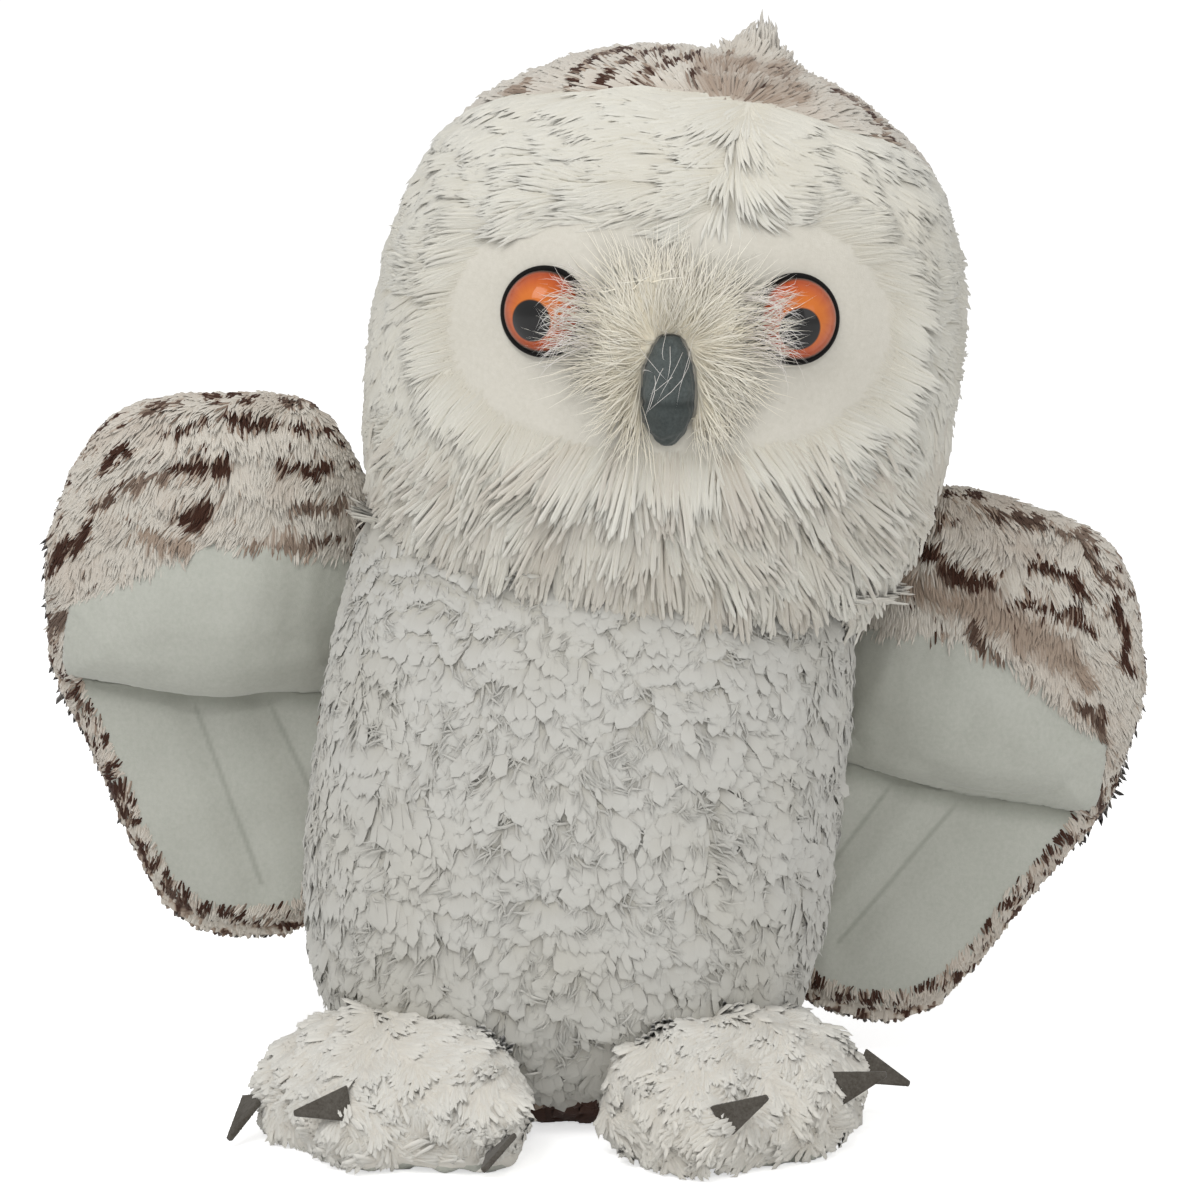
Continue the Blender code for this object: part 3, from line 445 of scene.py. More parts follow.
CLAW_FELT = NapCloth(
    "pressed brown-grey felt", *CLAW_SHADES, 0.8 * MM, 6 * MM, 0.2 * MM, 0.95, 0.2
)
BLACK_FELT = NapCloth(
    "pressed black felt", "#141211", "#0A0908", "#050505", 0.7 * MM, 5 * MM, 0.2 * MM, 0.95, 0.1
)
BASE_CLOTH = NapCloth("short barred base cloth", "#D8CCBC", "#8A7060", "#6E594C", 5 * MM, 14 * MM)
FILLING = NapCloth("white polyester fibre filling", "#EFEFEC", "#D9D9D4", "#CFCFCA", 3 * MM)
BAG_CLOTH = NapCloth("woven cotton pellet bag", "#CFC8B8", "#B8B09E", "#9E9686", 0.9 * MM)
WASHER = NapCloth(
    "moulded natural nylon", "#E4E4DF", "#D8D8D2", "#C8C8C2", 2 * MM, 9 * MM, 0.02 * MM, 0.45, 0.0
)


# ---------------------------------------------------------------- cloth


@dataclass
class Surface:
    """The outside of one cloth, as points, triangles and the points' normals."""

    points: Array
    corners: Array
    normals: Array

    @property
    def areas(self) -> Array:
        """Returns each triangle's area."""
        a, b, c = (self.points[self.corners[:, k]] for k in range(3))
        return np.linalg.norm(np.cross(b - a, c - a), axis=1) / 2

    def sow(self, spacing: float, rng: np.random.Generator) -> tuple[Array, Array]:
        """Spreads roots evenly over the cloth.

        Args:
            spacing: the usual distance between two roots.
            rng: where the random places come from.

        Returns:
            The roots and their normals.
        """
        sums = np.cumsum(self.areas)
        count = max(3, int(sums[-1] / spacing**2))
        steps = (np.arange(count) + rng.uniform(0, 1, count)) / count * sums[-1]
        which = np.minimum(np.searchsorted(sums, steps), len(sums) - 1)
        a, b = rng.uniform(0, 1, (2, count))
        flip = a + b > 1
        a, b = np.where(flip, 1 - a, a), np.where(flip, 1 - b, b)
        shares = np.stack([1 - a - b, a, b], 1)[:, :, None]
        trio = self.corners[which]
        roots = (self.points[trio] * shares).sum(1)
        return roots, unit((self.normals[trio] * shares).sum(1))


def read_surface(mesh: bpy.types.Mesh, faces: Array | None = None) -> Surface:
    """Returns a mesh as a Surface.

    Args:
        mesh: the mesh to read.
        faces: which of its faces to keep, or None for all.
    """
    points = np.zeros(len(mesh.vertices) * 3, np.float32)
    mesh.vertices.foreach_get("co", points)
    normals = np.zeros(len(mesh.vertices) * 3, np.float32)
    mesh.vertices.foreach_get("normal", normals)
    mesh.calc_loop_triangles()
    corners = np.zeros(len(mesh.loop_triangles) * 3, np.int32)
    mesh.loop_triangles.foreach_get("vertices", corners)
    owner = np.zeros(len(mesh.loop_triangles), np.int32)
    mesh.loop_triangles.foreach_get("polygon_index", owner)
    corners = corners.reshape(-1, 3)
    if faces is not None:
        corners = corners[faces[owner]]
    return Surface(
        points.reshape(-1, 3).astype(float), corners, normals.reshape(-1, 3).astype(float)
    )


def link_object(name: str, data: bpy.types.ID) -> bpy.types.Object:
    """Returns a new object in the scene for a mesh, camera or lamp."""
    made = bpy.data.objects.new(name, data)
    bpy.context.scene.collection.objects.link(made)
    return made


def move_points(piece: bpy.types.Object, points: Array) -> None:
    """Puts a piece's points at new places."""
    piece.data.vertices.foreach_set("co", points.astype(np.float32).ravel())
    piece.data.update()


def average_near(mesh: bpy.types.Mesh, values: Array, rounds: int = 1) -> Array:
    """Returns each point's value averaged with its neighbours', in so many rounds."""
    pairs = np.empty(2 * len(mesh.edges), np.int32)
    mesh.edges.foreach_get("vertices", pairs)
    a, b = pairs.reshape(-1, 2).T
    shares = 1 + np.bincount(a, minlength=len(values)) + np.bincount(b, minlength=len(values))
    if values.ndim > 1:
        shares = shares[:, None]
    for _ in range(rounds):
        total = values.copy()
        np.add.at(total, a, values[b])
        np.add.at(total, b, values[a])
        values = total / shares
    return values


def join_nodes(nodes: list[str]) -> bmesh.types.BMesh:
    """Returns copies of CAD nodes as one shape, which the caller frees."""
    shape = bmesh.new()
    for node in nodes:
        shape.from_mesh(frame["nodes"][node].data)
    return shape


def apply_modifier(piece: bpy.types.Object, kind: str, **settings: object) -> None:
    """Adds a modifier to a piece and applies it."""
    bpy.ops.object.select_all(action="DESELECT")
    piece.select_set(True)
    bpy.context.view_layer.objects.active = piece
    made = piece.modifiers.new(kind.title(), kind)
    for name, value in settings.items():
        setattr(made, name, value)
    bpy.ops.object.modifier_apply(modifier=made.name)


def fused_skin(name: str, nodes: list[str], voxel: float, smoothing: int) -> bpy.types.Object:
    """Joins copies of CAD nodes into one closed skin.

    Args:
        name: the new piece's name.
        nodes: the CAD nodes that it covers.
        voxel: the size of its faces in metres.
        smoothing: how often it is smoothed.

    Returns:
        The skin's object.
    """
    shape = join_nodes(nodes)
    bmesh.ops.remove_doubles(shape, verts=shape.verts, dist=0.001 * MM)
    mesh = bpy.data.meshes.new(name)
    shape.to_mesh(mesh)
    shape.free()
    skin = link_object(name, mesh)
    apply_modifier(skin, "REMESH", mode="VOXEL", voxel_size=voxel)
    apply_modifier(skin, "SMOOTH", factor=0.5, iterations=smoothing)
    return skin


def share_faces(skin: bpy.types.Object, owners: dict[str, list[str]]) -> dict[str, Array]:
    """Finds which CAD node each face of a skin lies on.

    Args:
        skin: a fused skin.
        owners: the nodes that stand for each name.

    Returns:
        For each name, whether each face belongs to it.
    """
    trees = {}
    for name, nodes in owners.items():
        shape = join_nodes(nodes)
        trees[name] = BVHTree.FromBMesh(shape)
        shape.free()
    gaps = np.array(
        [[tree.find_nearest(f.center)[3] for tree in trees.values()] for f in skin.data.polygons]
    )
    closest = gaps.argmin(1)
    return {name: closest == k for k, name in enumerate(trees)}


def face_points(skin: bpy.types.Object, faces: Array) -> Array:
    """Returns whether each point belongs to any of the marked faces."""
    inside = np.zeros(len(skin.data.vertices), bool)
    for face, kept in zip(skin.data.polygons, faces):
        if kept:
            inside[list(face.vertices)] = True
    return inside


def near_faces(skin: bpy.types.Object, flat: Array, plush: Array, reach: float) -> Array:
    """Returns the faces of smooth cloth by a seam, which the pile beyond it laps over.

    Args:
        skin: the whole skin.
        flat: which of its faces are smooth cloth.
        plush: which carry the pile.
        reach: how far the pile laps over, in metres.
    """
    centres = np.array([f.center for f in skin.data.polygons])
    inner = np.flatnonzero(flat)
    _, gaps = nearest(centres[inner], centres[np.flatnonzero(plush)])
    lapped = np.zeros(len(centres), bool)
    lapped[inner[gaps < reach]] = True
    return lapped


def cut_panel(
    skin: bpy.types.Object, faces: Array, name: str, wall: float
) -> tuple[bpy.types.Object, Surface]:
    """Cuts one panel out of a skin and gives it the cloth's thickness inwards.

    Args:
        skin: the skin, which stays whole.
        faces: whether each face is in the panel.
        name: the panel's name.
        wall: the cloth's thickness in metres.

    Returns:
        The closed panel, and its outside.
    """
    outside = read_surface(skin.data, faces)
    shape = bmesh.new()
    shape.from_mesh(skin.data)
    shape.faces.ensure_lookup_table()
    away = [f for f, kept in zip(shape.faces, faces) if not kept]
    bmesh.ops.delete(shape, geom=away, context="FACES")
    mesh = bpy.data.meshes.new(name)
    shape.to_mesh(mesh)
    shape.free()
    panel = link_object(name, mesh)
    rest = read_surface(panel.data).points
    apply_modifier(panel, "SOLIDIFY", thickness=wall, offset=-1.0)
    panel.data.shade_smooth()
    whole = read_surface(panel.data).points
    if len(whole) == 2 * len(rest):
        # Shaded like the whole skin, so that light runs on over the seams.
        smooth = outside.normals[face_points(skin, faces)]
        first = np.allclose(whole[: len(rest)], rest, atol=1e-6)
        halves = (smooth, -smooth) if first else (-smooth, smooth)
        panel.data.normals_split_custom_set_from_vertices(np.concatenate(halves))
    return panel, outside


def simulate_cloth(
    piece: bpy.types.Object, loose: Array, pressure: float, slack: float, cap: float
) -> None:
    """Lets a stuffed piece settle as cloth, then keeps that shape.

    Args:
        piece: a closed skin.
        loose: how free each point is, from 0, sewn down, to 1.
        pressure: how hard the filling pushes.
        slack: how much larger the cloth is cut than its filling.
        cap: how far a point may move, in metres.
    """
    rest = read_surface(piece.data).points
    held = piece.vertex_groups.new(name="sewn")
    for place, free in enumerate(loose):
        if free < 0.999:
            held.add([place], 1 - float(free), "REPLACE")
    cloth = piece.modifiers.new("Cloth", "CLOTH")
    cloth.settings.vertex_group_mass = held.name
    cloth.settings.use_pressure = True
    cloth.settings.uniform_pressure_force = pressure
    cloth.settings.shrink_min = -slack
    cloth.settings.effector_weights.gravity = 0.0
    cloth.settings.bending_stiffness = 0.4
    cloth.settings.tension_stiffness = 8
    scene = bpy.context.scene
    for step in range(CLOTH_FRAMES):
        scene.frame_set(step + 1)
    settled = piece.evaluated_get(bpy.context.evaluated_depsgraph_get())
    moved = read_surface(settled.to_mesh()).points - rest
    settled.to_mesh_clear()
    # Thick cloth holds no sharp folds: each point goes with its neighbours.
    moved = average_near(piece.data, moved, CLOTH_ROUNDS)
    far = np.linalg.norm(moved, axis=1, keepdims=True)
    moved = moved * np.minimum(1, cap / np.maximum(far, 1e-9)) * loose[:, None]
    piece.modifiers.remove(cloth)
    piece.vertex_groups.remove(held)
    scene.frame_set(1)
    move_points(piece, rest + moved)


def set_attribute(mesh: bpy.types.Mesh, name: str, values: Array) -> None:
    """Writes one number or one vector per point for a material to read."""
    kind, key = ("FLOAT", "value") if values.ndim == 1 else ("FLOAT_VECTOR", "vector")
    made = mesh.attributes.new(name, kind, "POINT")
    made.data.foreach_set(key, values.astype(np.float32).ravel())


def raw_piece(name: str, points: Array, corners: Array) -> bpy.types.Object:
    """Returns a new smooth piece from points and triangles."""
    mesh = bpy.data.meshes.new(name)
    mesh.vertices.add(len(points))
    mesh.vertices.foreach_set("co", points.astype(np.float32).ravel())
    mesh.loops.add(corners.size)
    mesh.loops.foreach_set("vertex_index", corners.astype(np.int32).ravel())
    mesh.polygons.add(len(corners))
    mesh.polygons.foreach_set("loop_start", np.arange(0, corners.size, 3, dtype=np.int32))
    mesh.update(calc_edges=True)
    mesh.shade_smooth()
    return link_object(name, mesh)


def place_piece(
    piece: bpy.types.Object,
    body: str,
    finish: bpy.types.Material,
    nodes: tuple[str, ...] = (),
) -> bpy.types.Object:
    """Gives a finished piece its material and its place in the frame.

    Args:
        piece: the piece, already at its place.
        body: the CAD body that it rides on.
        finish: its material.
        nodes: the CAD nodes that it stands for.

    Returns:
        The same piece.
    """
    piece.data.materials.clear()
    piece.data.materials.append(finish)
    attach(piece, body)
    if nodes:
        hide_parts(*nodes)
    log.info("%s: %d faces on %s", piece.name, len(piece.data.polygons), body)
    return piece


# ---------------------------------------------------------------- pile


@dataclass(frozen=True)
class PileStyle:
    """How the pile of one cloth grows and lies. Lengths are in metres.

    flat is a strand's thickness as a share of its width, rise how far it stands up from
    the cloth, and soft how much of its shading is the cloth's. A lock is a group of
    strands that lean to one of them. row, where it isn't 0, breaks the pile into rows.
    """

    spacing: float
    length: float
    width: float
    flat: float = 0.6
    rise: float = 0.45
    sag: float = 0.25
    uneven: float = 0.18
    unruly: float = 0.15
    swirl: float = 0.25
    swirl_size: float = 25 * MM
    lock_size: float = 4 * MM
    lock_pull: float = 0.55
    lock_turn: float = 0.25
    curl: float = 0.3 * MM
    rings: tuple[float, ...] = (0.0, 0.55)
    girth: tuple[float, ...] = (0.8, 1.0)
    sides: int = 3
    vary: float = 0.22
    soft: float = 0.6
    row: float = 0.0
    row_hold: float = 0.75


@dataclass
class Strands:
    """Grown strands: points, triangles, shading normals, and the strand attribute."""

    points: Array
    corners: Array
    normals: Array
    strand: Array

    @property
    def count(self) -> int:
        """Returns how many points there are."""
        return len(self.points)


def nearest(points: Array, marks: Array) -> tuple[Array, Array]:
    """Returns which mark each point is nearest to, and how far away it is."""
    tree = KDTree(len(marks))
    for place, mark in enumerate(marks):
        tree.insert(mark, place)
    tree.balance()
    found = [tree.find(point) for point in points]
    return np.array([f[1] for f in found]), np.array([f[2] for f in found])


def grow(
    surface: Surface,
    style: PileStyle,
    comb: Field,
    seed: int,
    print_and_shade_at: Field | None = None,
    length: Field | None = None,
    rise: Field | None = None,
    density: Field | None = None,
    clear: Field | None = None,
) -> Strands:
    """Grows the pile of one cloth.

    Args:
        surface: the cloth's outside.
        style: how its pile lies.
        comb: gives the way that the pile is brushed at each root.
        seed: fixes every random choice.
        print_and_shade_at: how dark the printed bars are, from 0 to 1; on the beard it carries
            painted shade.
        length: a share of the style's length.
        rise: a share of the style's rise.
        density: the share of roots that carry a strand.
        clear: moves points out of what the strands lie on.

    Returns:
        The strands.
    """
    rng = np.random.default_rng(seed)
    roots, normals = surface.sow(style.spacing, rng)
    if density is not None:
        kept = rng.uniform(0, 1, len(roots)) < density(roots)
        roots, normals = roots[kept], normals[kept]
    count = len(roots)
    if style.row:
        # Matted pile breaks into wavy rows that overlap like tiles.
        flow = flatten(comb(roots), normals)
        sway = 0.8 * Drift(34 * MM, seed + 5).at(roots) + 0.22 * Drift(12 * MM, seed + 6).at(roots)
        level = roots[:, 2] + style.row * sway
        shift = (level / style.row - np.round(level / style.row)) * style.row
        slope = np.minimum(-0.35, flow[:, 2])
        roots = roots - flow * (style.row_hold * shift / slope)[:, None]
    area = count * style.spacing**2
    leads = rng.choice(count, max(1, min(count, int(area / style.lock_size**2))), replace=False)
    lock, gap = nearest(roots, roots[leads])
    lead = leads[lock]
    turn = style.swirl * Drift(style.swirl_size, seed + 1).at(roots)
    lock_turn = turn[leads] + rng.normal(0, style.lock_turn, len(leads))
    turn = turn * 0.3 + lock_turn[lock] * 0.7 + rng.normal(0, style.unruly, count)
    flow = flatten(comb(roots), normals)
    side = np.cross(normals, flow)
    flow = flow * np.cos(turn)[:, None] + side * np.sin(turn)[:, None]
    size = style.length * np.clip(rng.normal(1, style.uneven, count), 0.4, 1.5)
    size = size * (0.85 + 0.3 * rng.uniform(0, 1, len(leads))[lock])
    if length is not None:
        size = size * length(roots)
    up = style.rise * (0.7 + 0.6 * rng.uniform(0, 1, len(leads))[lock])
    if rise is not None:
        up = up * rise(roots)
    up = up[:, None]
    start = unit(normals * up + flow * (1 - up))
    down = np.array([0.0, 0.0, -1.0])
    stand = np.clip(2 * up - 1, 0, 1)
    end = flow * (1 - stand) + down * style.sag + normals * (stand - 0.15 * (1 - up))
    end = unit(end + rng.normal(0, 0.08, (count, 3)))
    middle = roots + start * size[:, None] * 0.5
    tip = middle + end * size[:, None] * 0.5
    pull = style.lock_pull
    tip = tip + pull * (tip[lead] - tip) * 0.8
    middle = middle + 0.45 * pull * (middle[lead] - middle)
    shade = 0.3 + 0.35 * rng.uniform(0, 1, count) + 0.25 * rng.uniform(0, 1, len(leads))[lock]
    # Painted shade: strands far from their lock's lead come out darker, as between locks; the rest
    # differs at random.
    shade = shade + 0.2 * np.clip(1 - gap / (0.6 * style.lock_size), -0.6, 1)
    return weave_strands(
        (roots, middle, tip), normals, style, np.clip(shade, 0, 1), print_and_shade_at, rng, clear
    )


def weave_strands(
    bends: tuple[Array, Array, Array],
    normals: Array,
    style: PileStyle,
    shade: Array,
    print_and_shade_at: Field | None,
    rng: np.random.Generator,
    clear: Field | None = None,
) -> Strands:
    """Makes a closed tapered strand along each bend.

    Args:
        bends: the root, middle and tip of every strand.
        normals: the way that is up on each.
        style: the strands' sides, rings, girth and curl.
        shade: each strand's lightness, from 0 to 1.
        print_and_shade_at: how dark the print is at a place; on the beard, its painted shade.
        rng: where the random curls come from.
        clear: moves points out of what the strands lie on.

    Returns:
        The strands, whose shading leans towards the cloth's, as fine fibres' does.
    """
    root, middle, tip = bends
    count, rings, sides = len(root), len(style.rings), style.sides
    phase = rng.uniform(0, 2 * math.pi, count)
    pitch = rng.uniform(0.7, 1.3, count)
    thick = style.width / 2 * rng.uniform(1 - style.vary, 1 + style.vary, count)
    per = rings * sides + 1
    points, facing = np.zeros((2, count, per, 3))
    along = np.zeros(per)
    spin = math.pi / 2 + 2 * math.pi * np.arange(sides) / sides
    for k, t in enumerate((*style.rings, 1.0)):
        here = (1 - t) ** 2 * root + 2 * t * (1 - t) * middle + t * t * tip
        way = unit(2 * (1 - t) * (middle - root) + 2 * t * (tip - middle) + 1e-9)
        side = unit(np.cross(normals, way) + 1e-4)
        over = np.cross(way, side)
        wave = style.curl * t * np.sin(phase + 5 * t * pitch)
        here = here + side * wave[:, None] + over * (0.5 * np.roll(wave, 1))[:, None]
        if clear is not None:
            here = clear(here)
        if k == rings:
            points[:, -1] = here
            facing[:, -1] = way
            along[-1] = 1
            break
        half = (thick * style.girth[k])[:, None]
        for j, angle in enumerate(spin):
            wide, high = math.cos(angle) * side, math.sin(angle) * over
            points[:, sides * k + j] = here + half * (wide + style.flat * high)
            facing[:, sides * k + j] = unit(style.flat * wide + high)
        along[sides * k : sides * k + sides] = t
    lit = unit((1 - style.soft) * facing + style.soft * normals[:, None])
    turned = np.sum(lit * facing, axis=2, keepdims=True)
    facing = unit(lit + facing * np.maximum(0, 0.4 - turned))
    faces = [(0, j + 1, j) for j in range(1, sides - 1)]
    for k in range(rings - 1):
        for j in range(sides):
            a, b = sides * k + j, sides * k + (j + 1) % sides
            faces += [(a, b, b + sides), (a, b + sides, a + sides)]
    last = sides * (rings - 1)
    faces += [(last + j, last + (j + 1) % sides, per - 1) for j in range(sides)]
    corners = (np.array(faces)[None] + (np.arange(count) * per)[:, None, None]).reshape(-1, 3)
    marks = np.zeros(count)
    if print_and_shade_at is not None:
        seen = 0.2 * root + 0.3 * middle + 0.5 * tip
        marks = np.clip(print_and_shade_at(seen + rng.normal(0, 0.4 * MM, (count, 3))), 0, 1)
    strand = np.zeros((count, per, 3))
    strand[:, :, 0] = along
    strand[:, :, 1] = marks[:, None]
    strand[:, :, 2] = shade[:, None]
    points = points.reshape(-1, 3)
    points[:, 2] = np.maximum(points[:, 2], STRAND_FLOOR)
    return Strands(points, corners, facing.reshape(-1, 3), strand.reshape(-1, 3))


def join_pile(
    panel: bpy.types.Object, grown: list[Strands], print_and_shade_at: Field | None = None
) -> bpy.types.Object:
    """Joins a panel's cloth and its pile into one piece, under the panel's name.

    Args:
        panel: the closed cloth, which is used up.
        grown: its strands.
        print_and_shade_at: how dark the print is at a place.

    Returns:
        The finished piece.
    """
    cloth = read_surface(panel.data)
    marks = np.zeros(len(cloth.points)) if print_and_shade_at is None else print_and_shade_at(cloth.points)
    # The cloth under the pile takes a root colour and a low lightness: painted shade under the
    # strands.
    ground = np.stack(
        [np.full(len(marks), 0.2), np.clip(marks, 0, 1), np.full(len(marks), 0.4)], 1
    )
    parts = [Strands(cloth.points, cloth.corners, cloth.normals, ground), *grown]
    starts = np.cumsum([0] + [part.count for part in parts[:-1]])
    name = panel.name
    bpy.data.objects.remove(panel)
    every = np.concatenate([part.points for part in parts])
    every[:, 2] = np.maximum(every[:, 2], 0.0)
    corners = np.concatenate([part.corners + start for part, start in zip(parts, starts)])
    piece = raw_piece(name, every, corners)
    piece.name = name
    set_attribute(piece.data, "strand", np.concatenate([part.strand for part in parts]))
    normals = np.concatenate([part.normals for part in parts])
    piece.data.normals_split_custom_set_from_vertices(normals)
    return piece


@dataclass(frozen=True)
class Dash:
    """One printed bar: its two ends in millimetres, its width, and how dark it is."""

    ends: tuple[float, float, float, float]
    width: float = 2.5
    dark: float = 1.0


def print_dashes(dashes: tuple[Dash, ...], flat: Array) -> Array:
    """Returns how dark the bars are at flat points (across, up), in metres."""
    marks = np.zeros(len(flat))
    for dash in dashes:
        a, b = np.array(dash.ends[:2]) * MM, np.array(dash.ends[2:]) * MM
        run = b - a
        share = np.clip(((flat - a) @ run) / max(run @ run, 1e-12), 0, 1)
        gap = np.linalg.norm(flat - a - share[:, None] * run, axis=1)
        edge = dash.width * MM / 2
        marks = np.maximum(marks, dash.dark * (1 - ease(gap, 0.4 * edge, 1.2 * edge)))
    return marks


def print_rows(along: Array, across: Array, step: float, seed: int) -> Array:
    """Returns broken bars in rows.

    Args:
        along: distance along the rows.
        across: distance across them.
        step: distance from row to row.
        seed: fixes where the rows break.
    """
    flat = np.stack([along, across, np.zeros(len(along))], 1)
    sway = across + 1.6 * MM * Drift(28 * MM, seed).at(flat)
    row = np.floor(sway / step)
    place = np.abs(sway / step - row - 0.5) * step
    cut = np.stack([along, row * 0.05, np.zeros(len(along))], 1)
    broken = ease(Drift(17 * MM, seed + 1).at(cut), -0.35, 0.15)
    bar = 1 - ease(place, 0.9 * MM, 2.0 * MM)
    speck = ease(Drift(5 * MM, seed + 2).at(flat), 0.9, 1.5) * 0.8
    return np.maximum(bar * broken, speck)


# ---------------------------------------------------------------- head


@dataclass
class Head:
    """The head: shaggy front, barred hood and the skin that both are cut from."""

    voxel: float = 2.6 * MM
    wall: float = 1.2 * MM
    beak_root: tuple[float, float, float] = (30 * MM, -60 * MM, 204 * MM)
    parting: tuple[float, float, float, float] = (40 * MM, 212 * MM, 50 * MM, 268 * MM)
    crown: tuple[float, float] = (54 * MM, -2 * MM)
    crown_peak: float = 5.5 * MM
    crown_reach: float = 13 * MM
    rim: float = 5.0 * MM
    # The brow is nearer the camera than the plane of its bars, so they look larger.
    nearness: float = 1.053
    pile: PileStyle = PileStyle(
        spacing=0.92 * MM,
        length=15 * MM,
        width=1.15 * MM,
        flat=0.85,
        rise=0.13,
        sag=0.12,
        uneven=0.12,
        unruly=0.06,
        swirl=0.3,
        swirl_size=30 * MM,
        lock_size=4.6 * MM,
        lock_pull=0.34,
        lock_turn=0.13,
        curl=0.4 * MM,
        rings=(0.0, 0.7),
        soft=0.88,
    )
    beard_pile: PileStyle = PileStyle(
        spacing=1.12 * MM,
        length=16 * MM,
        width=1.35 * MM,
        flat=0.75,
        rise=0.2,
        sag=0.12,
        uneven=0.14,
        unruly=0.05,
        swirl_size=26 * MM,
        lock_pull=0.36,
        lock_turn=0.15,
        curl=0.5 * MM,
        rings=(0.0, 0.5, 0.93),
        girth=(0.8, 1.0, 0.8),
        soft=0.7,
    )
    hood_pile: PileStyle = PileStyle(
        spacing=1.08 * MM,
        length=6.5 * MM,
        width=0.95 * MM,
        flat=0.8,
        rise=0.26,
        sag=0.05,
        unruly=0.1,
        swirl=0.2,
        lock_size=3.0 * MM,
        lock_pull=0.25,
        lock_turn=0.12,
        curl=0.2 * MM,
        rings=(0.0, 0.75),
        girth=(0.9, 0.95),
        soft=0.75,
    )
    skin: bpy.types.Object | None = None
    faces: dict[str, Array] = field(default_factory=dict)

    def parting_at(self, up: Array) -> Array:
        """Returns where the brow's parting runs, for heights."""
        x0, z0, x1, z1 = self.parting
        return x0 + (up - z0) * (x1 - x0) / (z1 - z0)

    def comb(self, roots: Array) -> Array:
        """Brushes cheeks and beard out from the beak, and the brow out from its parting."""
        away = unit(roots - np.array(self.beak_root))
        cheek = away + np.array([0.0, 0.0, -0.45])
        part = (roots[:, 0] - self.parting_at(roots[:, 2])) / (6 * MM)
        part = part + 0.4 * Drift(20 * MM, 15).at(roots)
        fall = -0.1 - 0.02 * np.minimum(np.abs(part), 6) - 0.3 * np.exp(-(part**2))
        seam = ease(roots[:, 1], -0.034, -0.022)
        brow = np.stack([np.tanh(part), 0.12 + 0.5 * seam, fall * (1 - seam) + 0.15 * seam], 1)
        share = ease(roots[:, 2] + 0.12 * np.abs(roots[:, 0] - 0.03), 0.226, 0.244)[:, None]
        return cheek * (1 - share) + brow * share

    def length(self, roots: Array) -> Array:
        """Makes the beard longer than the brow and sides."""
        beard = 1 - ease(roots[:, 2], 0.165, 0.195)
        front = 1 - ease(roots[:, 1], -0.03, 0.0)
        side = ease(np.abs(roots[:, 0] - 0.03), 0.05, 0.07)
        return 0.92 + 0.3 * beard * front - 0.2 * side

    def beard(self, roots: Array) -> Array:
        """Returns 1 below the face, where the pile clings together in blunt yarns."""
        ragged = roots[:, 2] + 5 * MM * Drift(12 * MM, 16).at(roots)
        return 1 - ease(ragged, 0.172, 0.19)

    def brow(self, roots: Array) -> Array:
        """Returns where the fine pile grows: all of the front but the beard."""
        return 1 - self.beard(roots)

    def painted_beard_shade(self, points: Array) -> Array:
        """Returns painted shade for the downward-facing beard: a faint even darkening laid through
        the print.
        """
        return np.full(len(points), 0.12) + 0.05 * Drift(14 * MM, 17).at(points)

    def raise_crown(self) -> None:
        """Lifts the skin into a small soft peak at the crown."""
        surface = read_surface(self.skin.data)
        gap = np.linalg.norm(surface.points[:, :2] - np.array(self.crown), axis=1)
        on_top = ease(surface.points[:, 2], 0.22, 0.25)
        peak = self.crown_peak * (1 - ease(gap, 0.0, self.crown_reach))
        surface.points[:, 2] += peak * on_top
        move_points(self.skin, surface.points)

    def tuft(self, points: Array) -> Array:
        """Returns 1 at the crown's tuft, falling to 0 round it."""
        gap = np.linalg.norm((points[:, :2] - np.array(self.crown)) / (1.1, 1.0), axis=1)
        return 1 - ease(gap, 2 * MM, 13 * MM)

    def hood_comb(self, roots: Array) -> Array:
        """Brushes the hood back and down from the brow, and into the tuft."""
        back = roots - np.array([self.crown[0] - 0.01, -0.045, 0.262])
        crown = np.array([*self.crown, 0.29]) - roots
        share = 0.9 * self.tuft(roots)[:, None]
        return (unit(back) + np.array([0.0, 0.35, -0.3])) * (1 - share) + unit(crown) * share

    def hood_rise(self, roots: Array) -> Array:
        """Stands the pile up in a tuft at the crown."""
        return 1 + 1.5 * self.tuft(roots) ** 2

    def hood_density(self, roots: Array) -> Array:
        """Thins the pile behind, where fewer strands cover the cloth as well."""
        return 1 - 0.5 * ease(roots[:, 1], 0.006, 0.024)

    def hood_print(self, points: Array) -> Array:
        """Returns the hood's bars: three arcs and a smudge in front, rows behind."""
        x, y, z = points.T
        lean = math.radians(10)
        flat = np.stack([x, z * math.cos(lean) + y * math.sin(lean)], 1)
        middle = np.array([13 * MM, 132 * MM])
        front = print_dashes(HOOD_DASHES, middle + (flat - middle) * self.nearness)
        front = front * (0.86 + 0.2 * Drift(4 * MM, 43).at(points))
        around = np.arctan2(x - 0.03, 0.03 - y) * 0.06
        rows = print_rows(around, np.hypot(x - 0.03, y + 0.03) - 0.9 * (z - 0.26), 9.5 * MM, 41)
        behind = ease(y, 0.006, 0.016)
        return np.maximum(front * (1 - behind), rows * behind) * (1 - 0.75 * self.tuft(points))

    def build(self) -> None:
        """Fuses the skin and finds its panels."""
        nodes = ["head_front_plush", "head_hood_plush", "face_disc", "head_filling"]
        self.skin = fused_skin("head_skin", nodes, self.voxel, 5)
        owners = {n: [n] for n in nodes[:3]}
        self.faces = share_faces(self.skin, owners)
        self.raise_crown()

